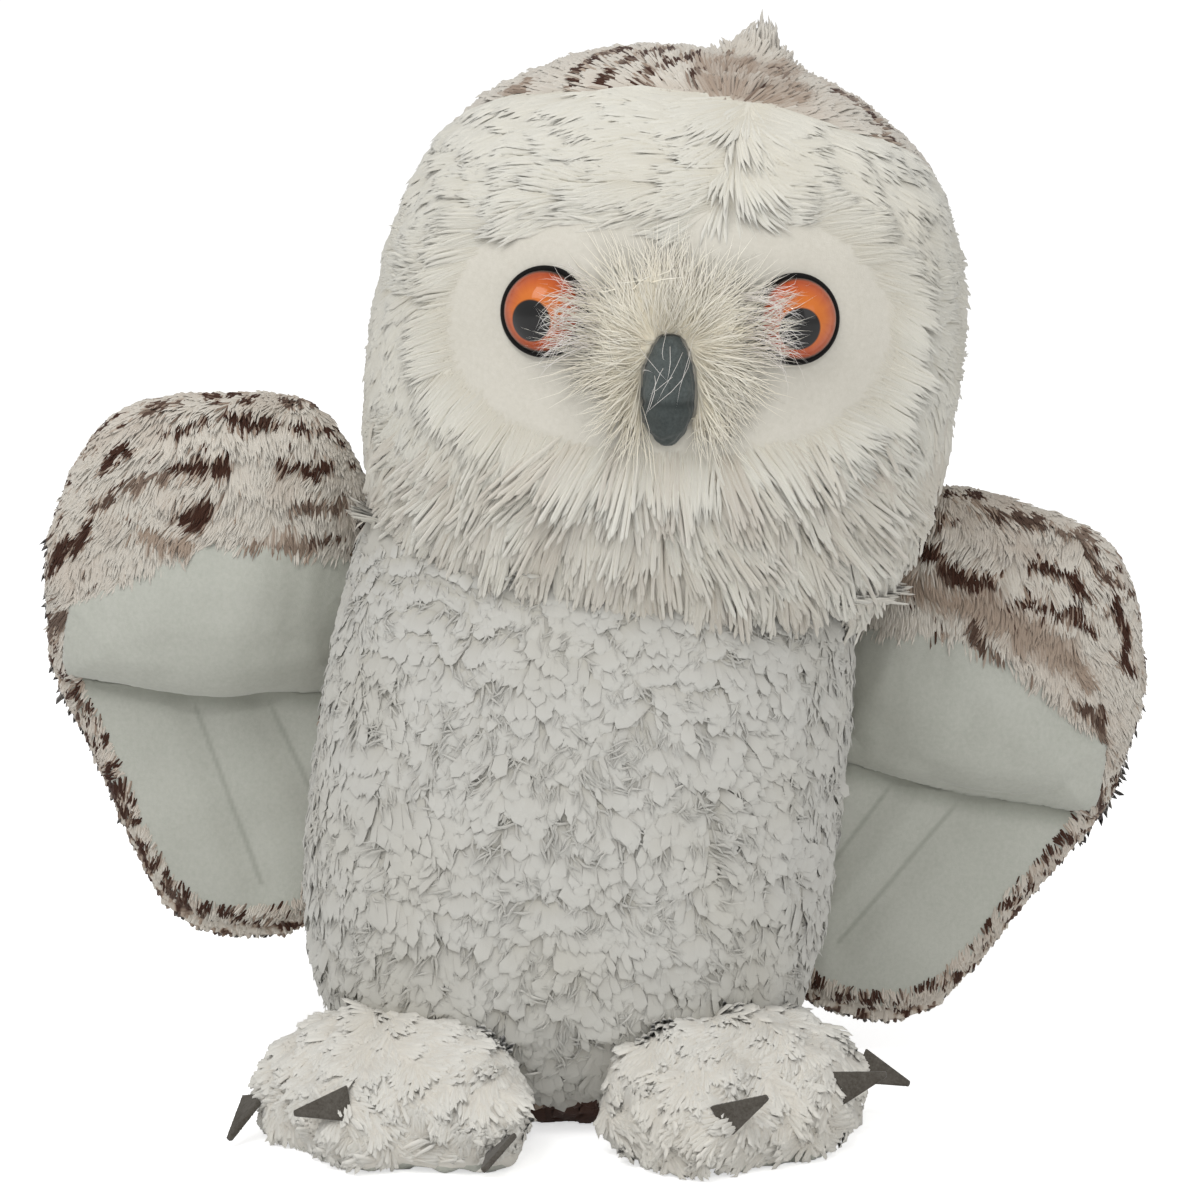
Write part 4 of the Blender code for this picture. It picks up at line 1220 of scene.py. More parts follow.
    def dress(self, shaggy: bpy.types.Material, barred: bpy.types.Material) -> None:
        """Grows the pile of the front and the hood."""
        plush, disc = self.faces["head_front_plush"], self.faces["face_disc"]
        panel, _ = cut_panel(self.skin, plush | disc, "head_front_pile", self.wall)
        lapped = near_faces(self.skin, disc, plush, self.rim)
        front = read_surface(self.skin.data, plush | lapped)
        pile = grow(front, self.pile, self.comb, 11, length=self.length, density=self.brow)
        beard = grow(
            front, self.beard_pile, self.comb, 13, self.painted_beard_shade, self.length, density=self.beard
        )
        piece = join_pile(panel, [pile, beard])
        place_piece(piece, "head", shaggy, ("head_front_plush",))
        covered = self.faces["head_hood_plush"]
        hood, outside = cut_panel(self.skin, covered, "head_hood_pile", self.wall)
        pile = grow(
            outside,
            self.hood_pile,
            self.hood_comb,
            12,
            self.hood_print,
            rise=self.hood_rise,
            density=self.hood_density,
        )
        piece = join_pile(hood, [pile], self.hood_print)
        place_piece(piece, "head", barred, ("head_hood_plush",))


# Across the head and up it, as they lie on the hood's brow.
HOOD_DASHES = (
    Dash((5.5, 268, 6.6, 273), 3.0),
    Dash((6.6, 273, 12, 278), 3.0),
    Dash((13.5, 279, 21, 281.5), 2.4, 0.9),
    Dash((13.5, 269, 16.5, 273), 3.0),
    Dash((16.5, 273, 23, 278), 3.0),
    Dash((24.5, 279, 33, 281.5), 2.6),
    Dash((22.4, 268, 25.3, 273), 3.0),
    Dash((25.3, 273, 31, 275.5), 3.4),
    Dash((31, 275.5, 39.3, 279), 2.8),
    Dash((37, 271, 39.5, 274), 3.4, 0.95),
    Dash((47, 280, 50, 281), 2.2, 0.8),
    Dash((54, 268, 57, 269), 2.8, 0.95),
    Dash((60, 276, 63, 273), 2.6, 0.8),
    Dash((41, 276, 64, 275), 9.0, 0.46),
    Dash((41, 269, 66, 267), 10.0, 0.48),
    Dash((-13, 267, -6, 271), 4.0, 0.62),
    Dash((76, 270, 80, 268), 2.2, 0.9),
    Dash((81, 267, 86, 264), 2.6, 0.95),
    Dash((86, 262, 90, 259), 2.6, 0.95),
    Dash((89, 257, 93, 253), 2.6, 0.8),
)


@dataclass
class Face:
    """The face: disc, eyes with their felt rings, beak, and the fluff round it."""

    skin: bpy.types.Object
    rings: int = 26
    spokes: int = 120
    turns: int = 64
    wall: float = 1.2 * MM
    eye_radius: float = 10.3 * MM
    eye_dome: float = 6.8 * MM
    felt_radius: float = 11.4 * MM
    felt_wall: float = 1.4 * MM
    pupil_place: tuple[float, float] = (-0.13, -0.24)
    fluff_middle: tuple[float, float, float] = (0.03, -0.06, 0.208)
    fluff: PileStyle = PileStyle(
        spacing=0.56 * MM,
        length=14 * MM,
        width=0.24 * MM,
        flat=1.0,
        rise=0.12,
        sag=0.0,
        uneven=0.35,
        unruly=0.4,
        swirl=0.6,
        swirl_size=14 * MM,
        lock_pull=0.3,
        lock_turn=0.4,
        curl=1.0 * MM,
        rings=(0.0, 0.35, 0.7),
        girth=(1.0, 1.0, 0.8),
        soft=0.93,
    )

    def disc(self, velboa: bpy.types.Material) -> None:
        """Lays the two-lobed disc of velboa over the front of the head."""
        low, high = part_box("face_disc")
        middle = (low + high) / 2
        shape = join_nodes(["face_disc"])
        disc = BVHTree.FromBMesh(shape)
        shape.clear()
        shape.from_mesh(self.skin.data)
        head = BVHTree.FromBMesh(shape)
        shape.free()
        # Rays from in front of the owl find the disc's edge, and then the head under it.
        start, back = Vector((middle.x, -0.2, middle.z)), Vector((0, 1, 0))
        ways, reaches = [], np.zeros(self.spokes)
        for k in range(self.spokes):
            angle = 2 * math.pi * k / self.spokes
            ways.append(Vector((math.cos(angle), 0, math.sin(angle))))
            for step in range(1, 160):
                if disc.ray_cast(start + ways[k] * step * 0.5 * MM, back)[0] is not None:
                    reaches[k] = step * 0.5 * MM
        for _ in range(6):
            reaches = (np.roll(reaches, 1) + 2 * reaches + np.roll(reaches, -1)) / 4
        points, seam = [], []
        for ring in range(self.rings + 1):
            share = math.sin(math.pi / 2 * ring / self.rings)
            for way, reach in zip(ways, reaches):
                hit = head.ray_cast(start + way * (reach + 1.2 * MM) * share, back)[0]
                proud = 0.7 * MM * (1 - max(0, share - 0.9) / 0.1 * 1.2)
                points.append((hit.x, hit.y - proud, hit.z))
                seam.append(max(0.0, (share - 0.93) / 0.07) ** 2 * 0.4)
        count = self.spokes
        faces = []
        for ring in range(self.rings):
            for k in range(count):
                a, b = ring * count + k, ring * count + (k + 1) % count
                faces.append((a, b, b + count, a + count))
        mesh = bpy.data.meshes.new("face_disc_velboa")
        mesh.from_pydata(points, [], faces)
        piece = link_object("face_disc_velboa", mesh)
        set_attribute(mesh, "seam", np.array(seam))
        shape = bmesh.new()
        shape.from_mesh(mesh)
        bmesh.ops.remove_doubles(shape, verts=shape.verts, dist=0.05 * MM)
        bmesh.ops.recalc_face_normals(shape, faces=shape.faces)
        if sum(f.normal.y for f in shape.faces) > 0:
            bmesh.ops.reverse_faces(shape, faces=shape.faces)
        shape.to_mesh(mesh)
        shape.free()
        apply_modifier(piece, "SMOOTH", factor=0.5, iterations=3)
        apply_modifier(piece, "SOLIDIFY", thickness=self.wall, offset=-1.0)
        piece.data.shade_smooth()
        place_piece(piece, "head", velboa, ("face_disc",))

    def eye_axes(self, side: Side) -> tuple[Vector, Matrix]:
        """Returns an eye's middle on its felt ring, and its turn, from the CAD ring."""
        ring = frame["nodes"][f"{side.value}_eye_felt_ring"].data
        points = read_surface(ring).points
        middle = points.mean(0)
        way = np.linalg.svd(points - middle)[2][2]
        way = way if way[1] < 0 else -way
        turn = Vector(way).to_track_quat("Z", "Y").to_matrix().to_4x4()
        return Vector(middle), turn

    def lathe(
        self, name: str, profile: list[tuple[float, float]], at: Matrix
    ) -> bpy.types.Object:
        """Spins a profile of (radius, height) into a closed round piece at its place."""
        bpy.ops.object.select_all(action="DESELECT")
        bpy.ops.mesh.primitive_plane_add(size=0.01, location=(0, 0, 0))
        piece = bpy.context.object
        piece.name = piece.data.name = name
        shape = bmesh.new()
        line = [shape.verts.new((radius, 0, height)) for radius, height in profile]
        for a, b in zip(line, line[1:]):
            shape.edges.new((a, b))
        shape.to_mesh(piece.data)
        shape.free()
        bpy.ops.object.mode_set(mode="EDIT")
        bpy.ops.mesh.select_all(action="SELECT")
        bpy.ops.mesh.spin(
            steps=self.turns, angle=2 * math.pi, center=(0, 0, 0), axis=(0, 0, 1), dupli=False
        )
        bpy.ops.mesh.select_all(action="SELECT")
        bpy.ops.mesh.remove_doubles(threshold=0.01 * MM)
        bpy.ops.mesh.normals_make_consistent(inside=False)
        bpy.ops.object.mode_set(mode="OBJECT")
        piece.data.shade_smooth()
        rest = read_surface(piece.data).points
        across, up = rest[:, 0] / self.eye_radius, rest[:, 1] / self.eye_radius
        set_attribute(piece.data, "lens", np.stack([across, up, np.hypot(across, up)], 1))
        pupil = np.hypot(across - self.pupil_place[0], up - self.pupil_place[1])
        set_attribute(piece.data, "pupil", pupil)
        piece.data.transform(at)
        return piece

    def eyes(self, acrylic: bpy.types.Material, felt: bpy.types.Material) -> None:
        """Makes each domed eye and the felt ring under it."""
        for side in Side:
            middle, turn = self.eye_axes(side)
            at = Matrix.Translation(middle) @ turn
            radius, dome = self.eye_radius, self.eye_dome
            ball = (radius**2 + dome**2) / (2 * dome)
            reach = math.asin(radius / ball)
            steps = 18
            angles = [reach * k / steps for k in range(steps + 1)]
            arc = [(ball * math.sin(a), ball * math.cos(a) - ball + dome) for a in angles]
            outer, half = self.felt_radius, self.felt_wall / 2
            profile = [(r, h + half + 0.4 * MM) for r, h in arc]
            profile += [(radius, half - 0.1 * MM), (0.0, half - 0.1 * MM)]
            eye = self.lathe(f"{side.value}_eye_acrylic", profile, at)
            place_piece(eye, "head", acrylic, (f"{side.value}_eye",))
            profile = [
                (0.0, -half),
                (outer - 0.4 * MM, -half),
                (outer, -half + 0.4 * MM),
                (outer, half - 0.3 * MM),
                (outer - 0.5 * MM, half),
                (0.0, half),
            ]
            ring = self.lathe(f"{side.value}_eye_felt", profile, at)
            place_piece(ring, "head", felt, (f"{side.value}_eye_felt_ring",))

    def beak(self, felt: bpy.types.Material) -> None:
        """Rounds the stuffed felt beak and presses its crease."""
        piece = fused_skin("beak_grey_felt", ["beak_felt", "beak_filling"], 0.55 * MM, 4)
        low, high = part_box("beak_felt")
        surface = read_surface(piece.data)
        rise = (surface.points[:, 2] - low.z) / (high.z - low.z)
        crease = np.exp(-(((rise - 0.4) / 0.035) ** 2))
        wander = 0.15 * MM * Drift(3 * MM, 5).at(surface.points)
        sunk = (0.35 * MM * crease - wander)[:, None]
        move_points(piece, surface.points - surface.normals * sunk)
        piece.data.shade_smooth()
        # Painted shade: the beak's lower part and its crease are darkened through the seam
        # attribute.
        lower = 1 - ease(rise, 0.36, 0.44)
        set_attribute(piece.data, "seam", np.clip(0.35 * lower + 0.5 * crease, 0, 1))
        place_piece(piece, "head", felt, ("beak_felt",))

    def fluff_comb(self, roots: Array) -> Array:
        """Fans the fluff out from the top of the beak."""
        return unit(roots - np.array(self.fluff_middle)) + np.array([0.0, 0.0, 0.15])

    def fluff_length(self, roots: Array) -> Array:
        """Makes the fluff shorter below the eyes, where it meets the cheeks."""
        return 0.85 + 0.15 * ease(roots[:, 2], 0.196, 0.206)

    def clear_eyes(self, points: Array) -> Array:
        """Lifts points that would lie inside an eye's dome to just over it."""
        points = points.copy()
        ball = (self.eye_radius**2 + self.eye_dome**2) / (2 * self.eye_dome)
        for side in Side:
            middle, turn = self.eye_axes(side)
            axes = np.array(turn.to_3x3())
            local = (points - np.array(middle)) @ axes
            reach = np.hypot(local[:, 0], local[:, 1])
            dome = np.sqrt(np.maximum(ball**2 - reach**2, 0)) - ball + self.eye_dome
            over = np.where(reach < self.eye_radius, dome + 1.6 * MM, 1.2 * MM)
            lift = np.where(reach < self.felt_radius + 0.8 * MM, over - local[:, 2], 0)
            points += np.maximum(lift, 0)[:, None] * axes[:, 2]
        return points

    def wisps(self, fluff: bpy.types.Material, hair: bpy.types.Material) -> None:
        """Grows the cream fluff, and lays loose fibres over the eyes and beak."""
        base = fused_skin("beak_fluff_pile", ["beak_fluff"], 1.2 * MM, 3)
        surface = read_surface(base.data)
        front = surface.normals[surface.corners].mean(1)[:, 1] < -0.2
        surface = Surface(surface.points, surface.corners[front], surface.normals)
        grown = grow(
            surface,
            self.fluff,
            self.fluff_comb,
            21,
            length=self.fluff_length,
            clear=self.clear_eyes,
        )
        place_piece(join_pile(base, [grown]), "head", fluff, ("beak_fluff",))
        # Loose fibres, as root, middle and tip: first over the eyes, then over the beak.
        rng = np.random.default_rng(22)
        bends = []
        for side in Side:
            middle, turn = self.eye_axes(side)
            for _ in range(80):
                start = rng.uniform(-9, 9)
                inward = (rng.uniform(10, 15), rng.uniform(3, 9), rng.uniform(-1, 8))
                ends = (start, start + rng.normal(0, 3), start + rng.normal(-3, 4))
                bends.append(
                    [
                        middle + turn.to_3x3() @ Vector((-side.sign * x * MM, y * MM, h * MM))
                        for x, y, h in zip(inward, ends, (0.5, 8.0, 8.0))
                    ]
                )
        for _ in range(10):
            root = Vector((0.030 + rng.uniform(-8, 8) * MM, -0.0645, rng.uniform(0.203, 0.214)))
            tip = Vector((0.030 + rng.uniform(-8, 8) * MM, -0.0728, rng.uniform(0.190, 0.206)))
            over = (root + tip) / 2 + Vector((rng.normal(0, 3) * MM, -0.006, rng.normal(2, 3) * MM))
            bends.append([root, over, tip])
        curves = np.array(bends, float)
        style = PileStyle(
            spacing=1 * MM,
            length=1 * MM,
            width=0.12 * MM,
            flat=1.0,
            curl=0.7 * MM,
            rings=(0.0, 0.2, 0.4, 0.6, 0.8),
            girth=(1, 1, 1, 1, 0.8),
            soft=0.3,
        )
        strands = weave_strands(
            (curves[:, 0], curves[:, 1], curves[:, 2]),
            np.tile([0.0, -1.0, 0.0], (len(curves), 1)),
            style,
            rng.uniform(0.6, 1, len(curves)),
            None,
            rng,
            self.clear_eyes,
        )
        piece = raw_piece("face_loose_fibres", strands.points, strands.corners)
        set_attribute(piece.data, "strand", strands.strand)
        place_piece(piece, "head", hair)


# ---------------------------------------------------------------- torso


@dataclass
class Torso:
    """The body: curly front, barred back and flat base."""

    voxel: float = 2.8 * MM
    wall: float = 1.2 * MM
    flakes: PileStyle = PileStyle(
        spacing=1.75 * MM,
        length=9.0 * MM,
        width=3.2 * MM,
        flat=0.24,
        rise=0.22,
        sag=0.05,
        uneven=0.15,
        unruly=0.16,
        swirl=0.5,
        swirl_size=20 * MM,
        lock_size=8 * MM,
        lock_pull=0.2,
        curl=0.6 * MM,
        rings=(0.0, 0.8),
        girth=(0.7, 0.95),
        sides=5,
        vary=0.5,
        soft=0.76,
        row=7.0 * MM,
        row_hold=0.85,
    )
    pile: PileStyle = PileStyle(
        spacing=2.0 * MM,
        length=7.0 * MM,
        width=0.8 * MM,
        flat=0.8,
        rise=0.3,
        sag=0.05,
        uneven=0.25,
        unruly=0.5,
        swirl=0.7,
        swirl_size=14 * MM,
        lock_size=4.4 * MM,
        lock_pull=0.4,
        lock_turn=0.6,
        curl=1.0 * MM,
        soft=0.8,
    )
    back_pile: PileStyle = PileStyle(
        spacing=1.62 * MM,
        length=8 * MM,
        width=1.4 * MM,
        rise=0.28,
        lock_size=3.6 * MM,
        lock_pull=0.25,
        lock_turn=0.12,
        rings=(0.0, 0.75),
        girth=(0.9, 0.95),
        soft=0.7,
    )

    def comb(self, roots: Array) -> Array:
        """Brushes the body down and a little outwards."""
        out = (roots[:, 0] - 0.008) / 0.07
        return np.stack([0.6 * out, np.zeros(len(out)), np.full(len(out), -1.0)], 1)

    def fringe(self, roots: Array) -> Array:
        """Makes the pile short under the head and the beard."""
        low = -roots[:, 2]
        return 0.35 + 0.4 * ease(low, -0.15, -0.135) + 0.25 * ease(low, -0.135, -0.11)

    def below_head(self, roots: Array) -> Array:
        """Leaves out the pile that the head would hide."""
        return 1 - ease(roots[:, 2], 0.148, 0.154)

    def bars(self, points: Array) -> Array:
        """Returns the back's printed rows."""
        return print_rows(points[:, 0], points[:, 2] + 0.2 * np.abs(points[:, 0]), 11 * MM, 61)

    def hem(self, points: Array) -> Array:
        """Returns a ragged dark band in the print's colours along the front's lowest centimetre."""
        ragged = points[:, 2] + 1.2 * MM * Drift(7 * MM, 62).at(points)
        return 0.95 * (1 - ease(ragged, 7 * MM, 10 * MM))

    def build(
        self, curly: bpy.types.Material, barred: bpy.types.Material, base: bpy.types.Material
    ) -> None:
        """Fuses the skin, cuts its panels and grows their pile."""
        outer = ["body_front_plush", "body_back_plush", "body_base_panel"]
        skin = fused_skin("body_skin", outer + ["body_filling", "pellet_bag"], self.voxel, 5)
        faces = share_faces(skin, {n: [n] for n in outer})
        panel, outside = cut_panel(skin, faces[outer[0]], "body_front_pile", self.wall)
        flakes = grow(
            outside, self.flakes, self.comb, 31, self.hem, self.fringe, density=self.below_head
        )
        pile = grow(
            outside, self.pile, self.comb, 33, self.hem, self.fringe, density=self.below_head
        )
        whole = join_pile(panel, [flakes, pile], self.hem)
        place_piece(whole, "body", curly, (outer[0],))
        panel, outside = cut_panel(skin, faces[outer[1]], "body_back_pile", self.wall)
        pile = grow(outside, self.back_pile, self.comb, 32, self.bars)
        place_piece(
            join_pile(panel, [pile], self.bars), "body", barred, (outer[1],)
        )
        panel, _ = cut_panel(skin, faces[outer[2]], "body_base_cloth", self.wall)
        place_piece(panel, "body", base, (outer[2],))
        bpy.data.objects.remove(skin)


# ---------------------------------------------------------------- wings


LEFT_DASHES = (
    Dash((74, 28, 92, 27), 2.0, 0.8),
    Dash((98, 27, 112, 26), 2.0, 0.85),
    Dash((72, 21, 88, 21), 3.0),
    Dash((92, 21, 106, 21), 3.6),
    Dash((110, 19, 122, 16), 3.0, 0.9),
    Dash((118, 24, 128, 20), 2.4, 0.8),
    Dash((78, 11, 88, 11), 5.0),
    Dash((104, 9, 116, 8), 5.4),
    Dash((108, -2, 113, -5), 7.0, 0.95),
    Dash((72, 2, 84, 1), 4.0, 0.75),
    Dash((70, -6, 80, -7), 3.0, 0.8),
    Dash((80, -9, 93, -12), 8.0, 0.62),
    Dash((112, -14, 122, -12), 6.0, 0.5),
    Dash((120, 5, 128, 0), 4.0, 0.7),
    Dash((130, 10, 136, 4), 3.6, 0.9),
    Dash((132, -2, 138, -8), 4.0, 0.8),
    Dash((138, -12, 142, -20), 4.0, 0.9),
    Dash((144, -18, 147, -28), 3.4, 0.9),
    Dash((143, -36, 146, -46), 3.4, 0.75),
    Dash((138, -56, 134, -66), 3.0, 0.7),
    Dash((126, -80, 120, -92), 4.0, 0.9),
    Dash((116, -98, 112, -106), 4.0, 0.9),
    Dash((106, -110, 100, -116), 4.0, 0.8),
)

RIGHT_DASHES = (
    Dash((84, 27, 98, 27), 2.0, 0.9),
    Dash((80, 21, 92, 20), 2.4, 0.9),
    Dash((100, 24, 116, 22), 3.4, 0.8),
    Dash((116, 22, 130, 19), 3.0, 0.7),
    Dash((78, 12, 88, 12), 4.4),
    Dash((112, 13, 124, 10), 3.6),
    Dash((124, 10, 130, 5), 3.0),
    Dash((128, 16, 138, 9), 3.4, 0.8),
    Dash((90, 8, 100, 6), 6.0, 0.95),
    Dash((76, 3, 96, 0), 9.0, 0.5),
    Dash((100, 0, 124, -10), 13.0, 0.48),
    Dash((112, 3, 124, 0), 3.0, 0.95),
    Dash((126, 0, 132, -4), 3.4, 0.9),
    Dash((98, -4, 102, -12), 4.0, 0.8),
    Dash((104, -12, 110, -14), 3.0, 0.7),
    Dash((138, 4, 142, -6), 4.0, 0.95),
    Dash((140, -8, 144, -14), 4.0, 0.9),
    Dash((126, -10, 134, -18), 6.0, 0.5),
    Dash((132, -24, 138, -30), 4.0, 0.8),
    Dash((138, -32, 142, -40), 3.0, 0.7),
    Dash((140, -46, 143, -56), 4.0, 0.8),
    Dash((134, -62, 128, -70), 4.4, 0.85),
    Dash((118, -78, 112, -86), 3.2, 0.8),
    Dash((104, -98, 100, -104), 3.0, 0.6),
)


@dataclass
class Wing:
    """One wing: barred strip and back, puffed pad, and the flat feather lining."""

    side: Side
    dashes: tuple[Dash, ...]
    stitches: tuple[tuple[float, float, float, float], ...]
    axes: Axes = field(default_factory=lambda: lean_axes((14.91 * MM, 0.0, 145 * MM)))
    voxel: float = 1.6 * MM
    wall: float = 0.9 * MM
    puff: float = 4.4 * MM
    shoulder_lift: float = 5 * MM
    rim: float = 5.5 * MM
    crease: Array | None = None
    pile: PileStyle = PileStyle(
        spacing=0.78 * MM,
        length=5.4 * MM,
        width=0.7 * MM,
        flat=0.85,
        rise=0.3,
        sag=0.0,
        unruly=0.14,
        swirl=0.3,
        swirl_size=18 * MM,
        lock_size=3.0 * MM,
        lock_pull=0.3,
        lock_turn=0.16,
        curl=0.2 * MM,
        rings=(0.0, 0.7),
        girth=(0.9, 0.95),
        soft=0.75,
    )
    back_pile: PileStyle = PileStyle(
        spacing=1.62 * MM,
        length=6.6 * MM,
        width=1.4 * MM,
        rise=0.26,
        sag=0.0,
        lock_size=3.6 * MM,
        lock_pull=0.25,
        lock_turn=0.12,
        rings=(0.0, 0.75),
        girth=(0.9, 0.95),
        soft=0.72,
    )

    def plane(self, points: Array) -> Array:
        """Returns the points as (out from the shoulder, up from it)."""
        across, _, up = self.axes.local(points).T
        return np.stack([across * self.side.sign, up], 1)

    def comb(self, roots: Array) -> Array:
        """Brushes the pile down from the leading edge, and outwards at the tip."""
        out, up = self.plane(roots).T
        tip = ease(out, 0.11, 0.145)
        outwards = (0.1 + 0.5 * tip) * self.side.sign
        ways = np.stack([outwards, np.zeros(len(out)), np.full(len(out), -1.0)], 1)
        return self.axes.world(ways)

    def length(self, roots: Array) -> Array:
        """Makes the pile short where the strip wraps round the wing's edge."""
        return 1 - 0.5 * ease(roots[:, 1], 12 * MM, 19 * MM)

    def back_length(self, roots: Array) -> Array:
        """Makes the back's pile short along the wing's edge."""
        return 0.28 + 0.72 * ease(roots[:, 1], 24 * MM, 29 * MM)

    def raise_shoulder(self, skin: bpy.types.Object) -> None:
        """Fills out the wing's upper edge where it runs up to the head."""
        surface = read_surface(skin.data)
        out, up = self.plane(surface.points).T
        near = 1 - ease(out, 82 * MM, 122 * MM)
        lift = self.shoulder_lift * ease(up, 10 * MM, 28 * MM) * near
        move_points(skin, surface.points + np.array(self.axes.up) * lift[:, None])

    def bars(self, points: Array) -> Array:
        """Returns the front's printed bars, which crowd into specks round the edge."""
        flat = self.plane(points)
        wobble = np.stack([Drift(9 * MM, 71).at(points), Drift(9 * MM, 72).at(points)], 1)
        wobble[:, 1] += 0.7 * Drift(2.6 * MM, 78).at(points)
        marks = print_dashes(self.dashes, flat + wobble * 0.9 * MM)
        edge = ease(points[:, 1], 14 * MM, 19 * MM) * (1 - ease(flat[:, 1], 14 * MM, 24 * MM))
        speck = ease(Drift(4.0 * MM, 73).at(points), 1.1 - 1.2 * edge, 1.8 - 1.2 * edge) * 0.85
        haze = 0.16 * ease(Drift(22 * MM, 74).at(points), 0.3, 1.0)
        return np.maximum(np.maximum(marks, speck), haze)

    def back_bars(self, points: Array) -> Array:
        """Returns the back's printed rows, which follow the leading edge."""
        out, up = self.plane(points).T
        rows = print_rows(out, up + 0.25 * np.maximum(out - 0.1, 0), 10 * MM, 75)
        rim = ease(points[:, 1], 0.026, 0.022)
        return rows * (1 - rim) + self.bars(points) * rim

    def build(self, barred: bpy.types.Material, velboa: bpy.types.Material) -> None:
        """Fuses the wing's skin, lets the pad settle, and dresses each panel."""
        name = f"{self.side.value}_wing"
        kinds = ["front_plush", "back_plush", "pad", "feather_lining"]
        nodes = [f"{name}_{kind}" for kind in kinds]
        skin = fused_skin(f"{name}_skin", nodes + [f"{name}_filling"], self.voxel, 3)
        self.settle(skin, share_faces(skin, {n: [n] for n in nodes})[nodes[2]])
        apply_modifier(skin, "SUBSURF", levels=1, render_levels=1)
        faces = share_faces(skin, {n: [n] for n in nodes})
        self.quilt(skin, faces[nodes[2]], faces[nodes[3]])
        self.raise_shoulder(skin)
        panel, _ = cut_panel(skin, faces[nodes[0]], f"{name}_front_pile", self.wall)
        lapped = near_faces(skin, faces[nodes[2]] | faces[nodes[3]], faces[nodes[1]], self.rim)
        outside = read_surface(skin.data, faces[nodes[0]] | lapped)
        pile = grow(outside, self.pile, self.comb, 51, self.bars, self.length)
        place_piece(
            join_pile(panel, [pile], self.bars), name, barred, (nodes[0],)
        )
        panel, outside = cut_panel(skin, faces[nodes[1]], f"{name}_back_pile", self.wall)
        pile = grow(outside, self.back_pile, self.comb, 52, self.back_bars, self.back_length)
        place_piece(
            join_pile(panel, [pile], self.back_bars), name, barred, (nodes[1],)
        )
        for node, label, fill in ((nodes[2], "pad_velboa", 0.8), (nodes[3], "feather_velboa", 0.2)):
            panel, _ = cut_panel(skin, faces[node], f"{name}_{label}", self.wall)
            points = read_surface(panel.data).points
            set_attribute(panel.data, "seam", self.seam(points, node == nodes[3]))
            place_piece(panel, name, velboa, (node,))
        bpy.data.objects.remove(skin)

    def settle(self, skin: bpy.types.Object, pad: Array) -> None:
        """Simulates the pad's cloth, sewn down round its border."""
        loose = face_points(skin, pad).astype(float)
        for _ in range(3):
            loose = np.minimum(loose, average_near(skin.data, loose))
        simulate_cloth(skin, loose, 3.0, 0.05, 2.5 * MM)

    def stitch_gap(self, flat: Array) -> Array:
        """Returns how far flat points are from the nearest stitched line."""
        gaps = []
        for line in self.stitches:
            a, b = np.array(line[:2]) * MM, np.array(line[2:]) * MM
            share = np.clip(((flat - a) @ (b - a)) / ((b - a) @ (b - a)), 0, 1)
            gaps.append(np.linalg.norm(flat - a - share[:, None] * (b - a), axis=1))
        return np.min(gaps, axis=0)

    def seam(self, points: Array, stitched: bool) -> Array:
        """Returns how dark the cloth is: the thread's own line, and painted shade along the crease
        under the pad.

        Args:
            points: places on the panel.
            stitched: whether the panel is the lining.
        """
        _, gap = nearest(points, self.crease)
        if not stitched:
            # Painted shade on the pad along the crease.
            return 0.5 * (1 - ease(gap, 0.0, 2.2 * MM))
        # The thread's dark line is the cloth's own; the wide band under the pad is painted shade.
        thread = 0.4 * (1 - ease(self.stitch_gap(self.plane(points)), 0.2 * MM, 1.0 * MM))
        return np.maximum(thread, 0.62 * (1 - ease(gap, 0.0, 7 * MM)))

    def quilt(self, skin: bpy.types.Object, pad: Array, lining: Array) -> None:
        """Puffs the pad out from its seams, and presses the stitched lines into the lining."""
        surface = read_surface(skin.data)
        on_pad, on_lining = face_points(skin, pad), face_points(skin, lining)
        edge = on_pad & face_points(skin, ~pad)
        self.crease = surface.points[on_pad & on_lining]
        depth = np.zeros(len(on_pad))
        depth[on_pad] = nearest(surface.points[on_pad], surface.points[edge])[1]
        share = np.clip(depth / (15 * MM), 0, 1)
        pillow = 0.5 * np.sqrt(1 - (1 - share) ** 2) + 0.5 * ease(share, 0, 1)
        lumps = 0.5 * MM * Drift(26 * MM, 77).at(surface.points) * ease(share, 0.2, 1)
        gap = self.stitch_gap(self.plane(surface.points))
        sunk = 1.1 * MM * ease(gap, 0.0, 9 * MM) - 0.5 * MM
        sunk = sunk + 0.25 * MM * Drift(24 * MM, 76).at(surface.points)
        points = surface.points + surface.normals * (self.puff * pillow + lumps)[:, None]
        front = np.array([0.0, -1.0, 0.0])
        move_points(skin, points + front * (sunk * (on_lining & ~on_pad))[:, None])


# ---------------------------------------------------------------- feet


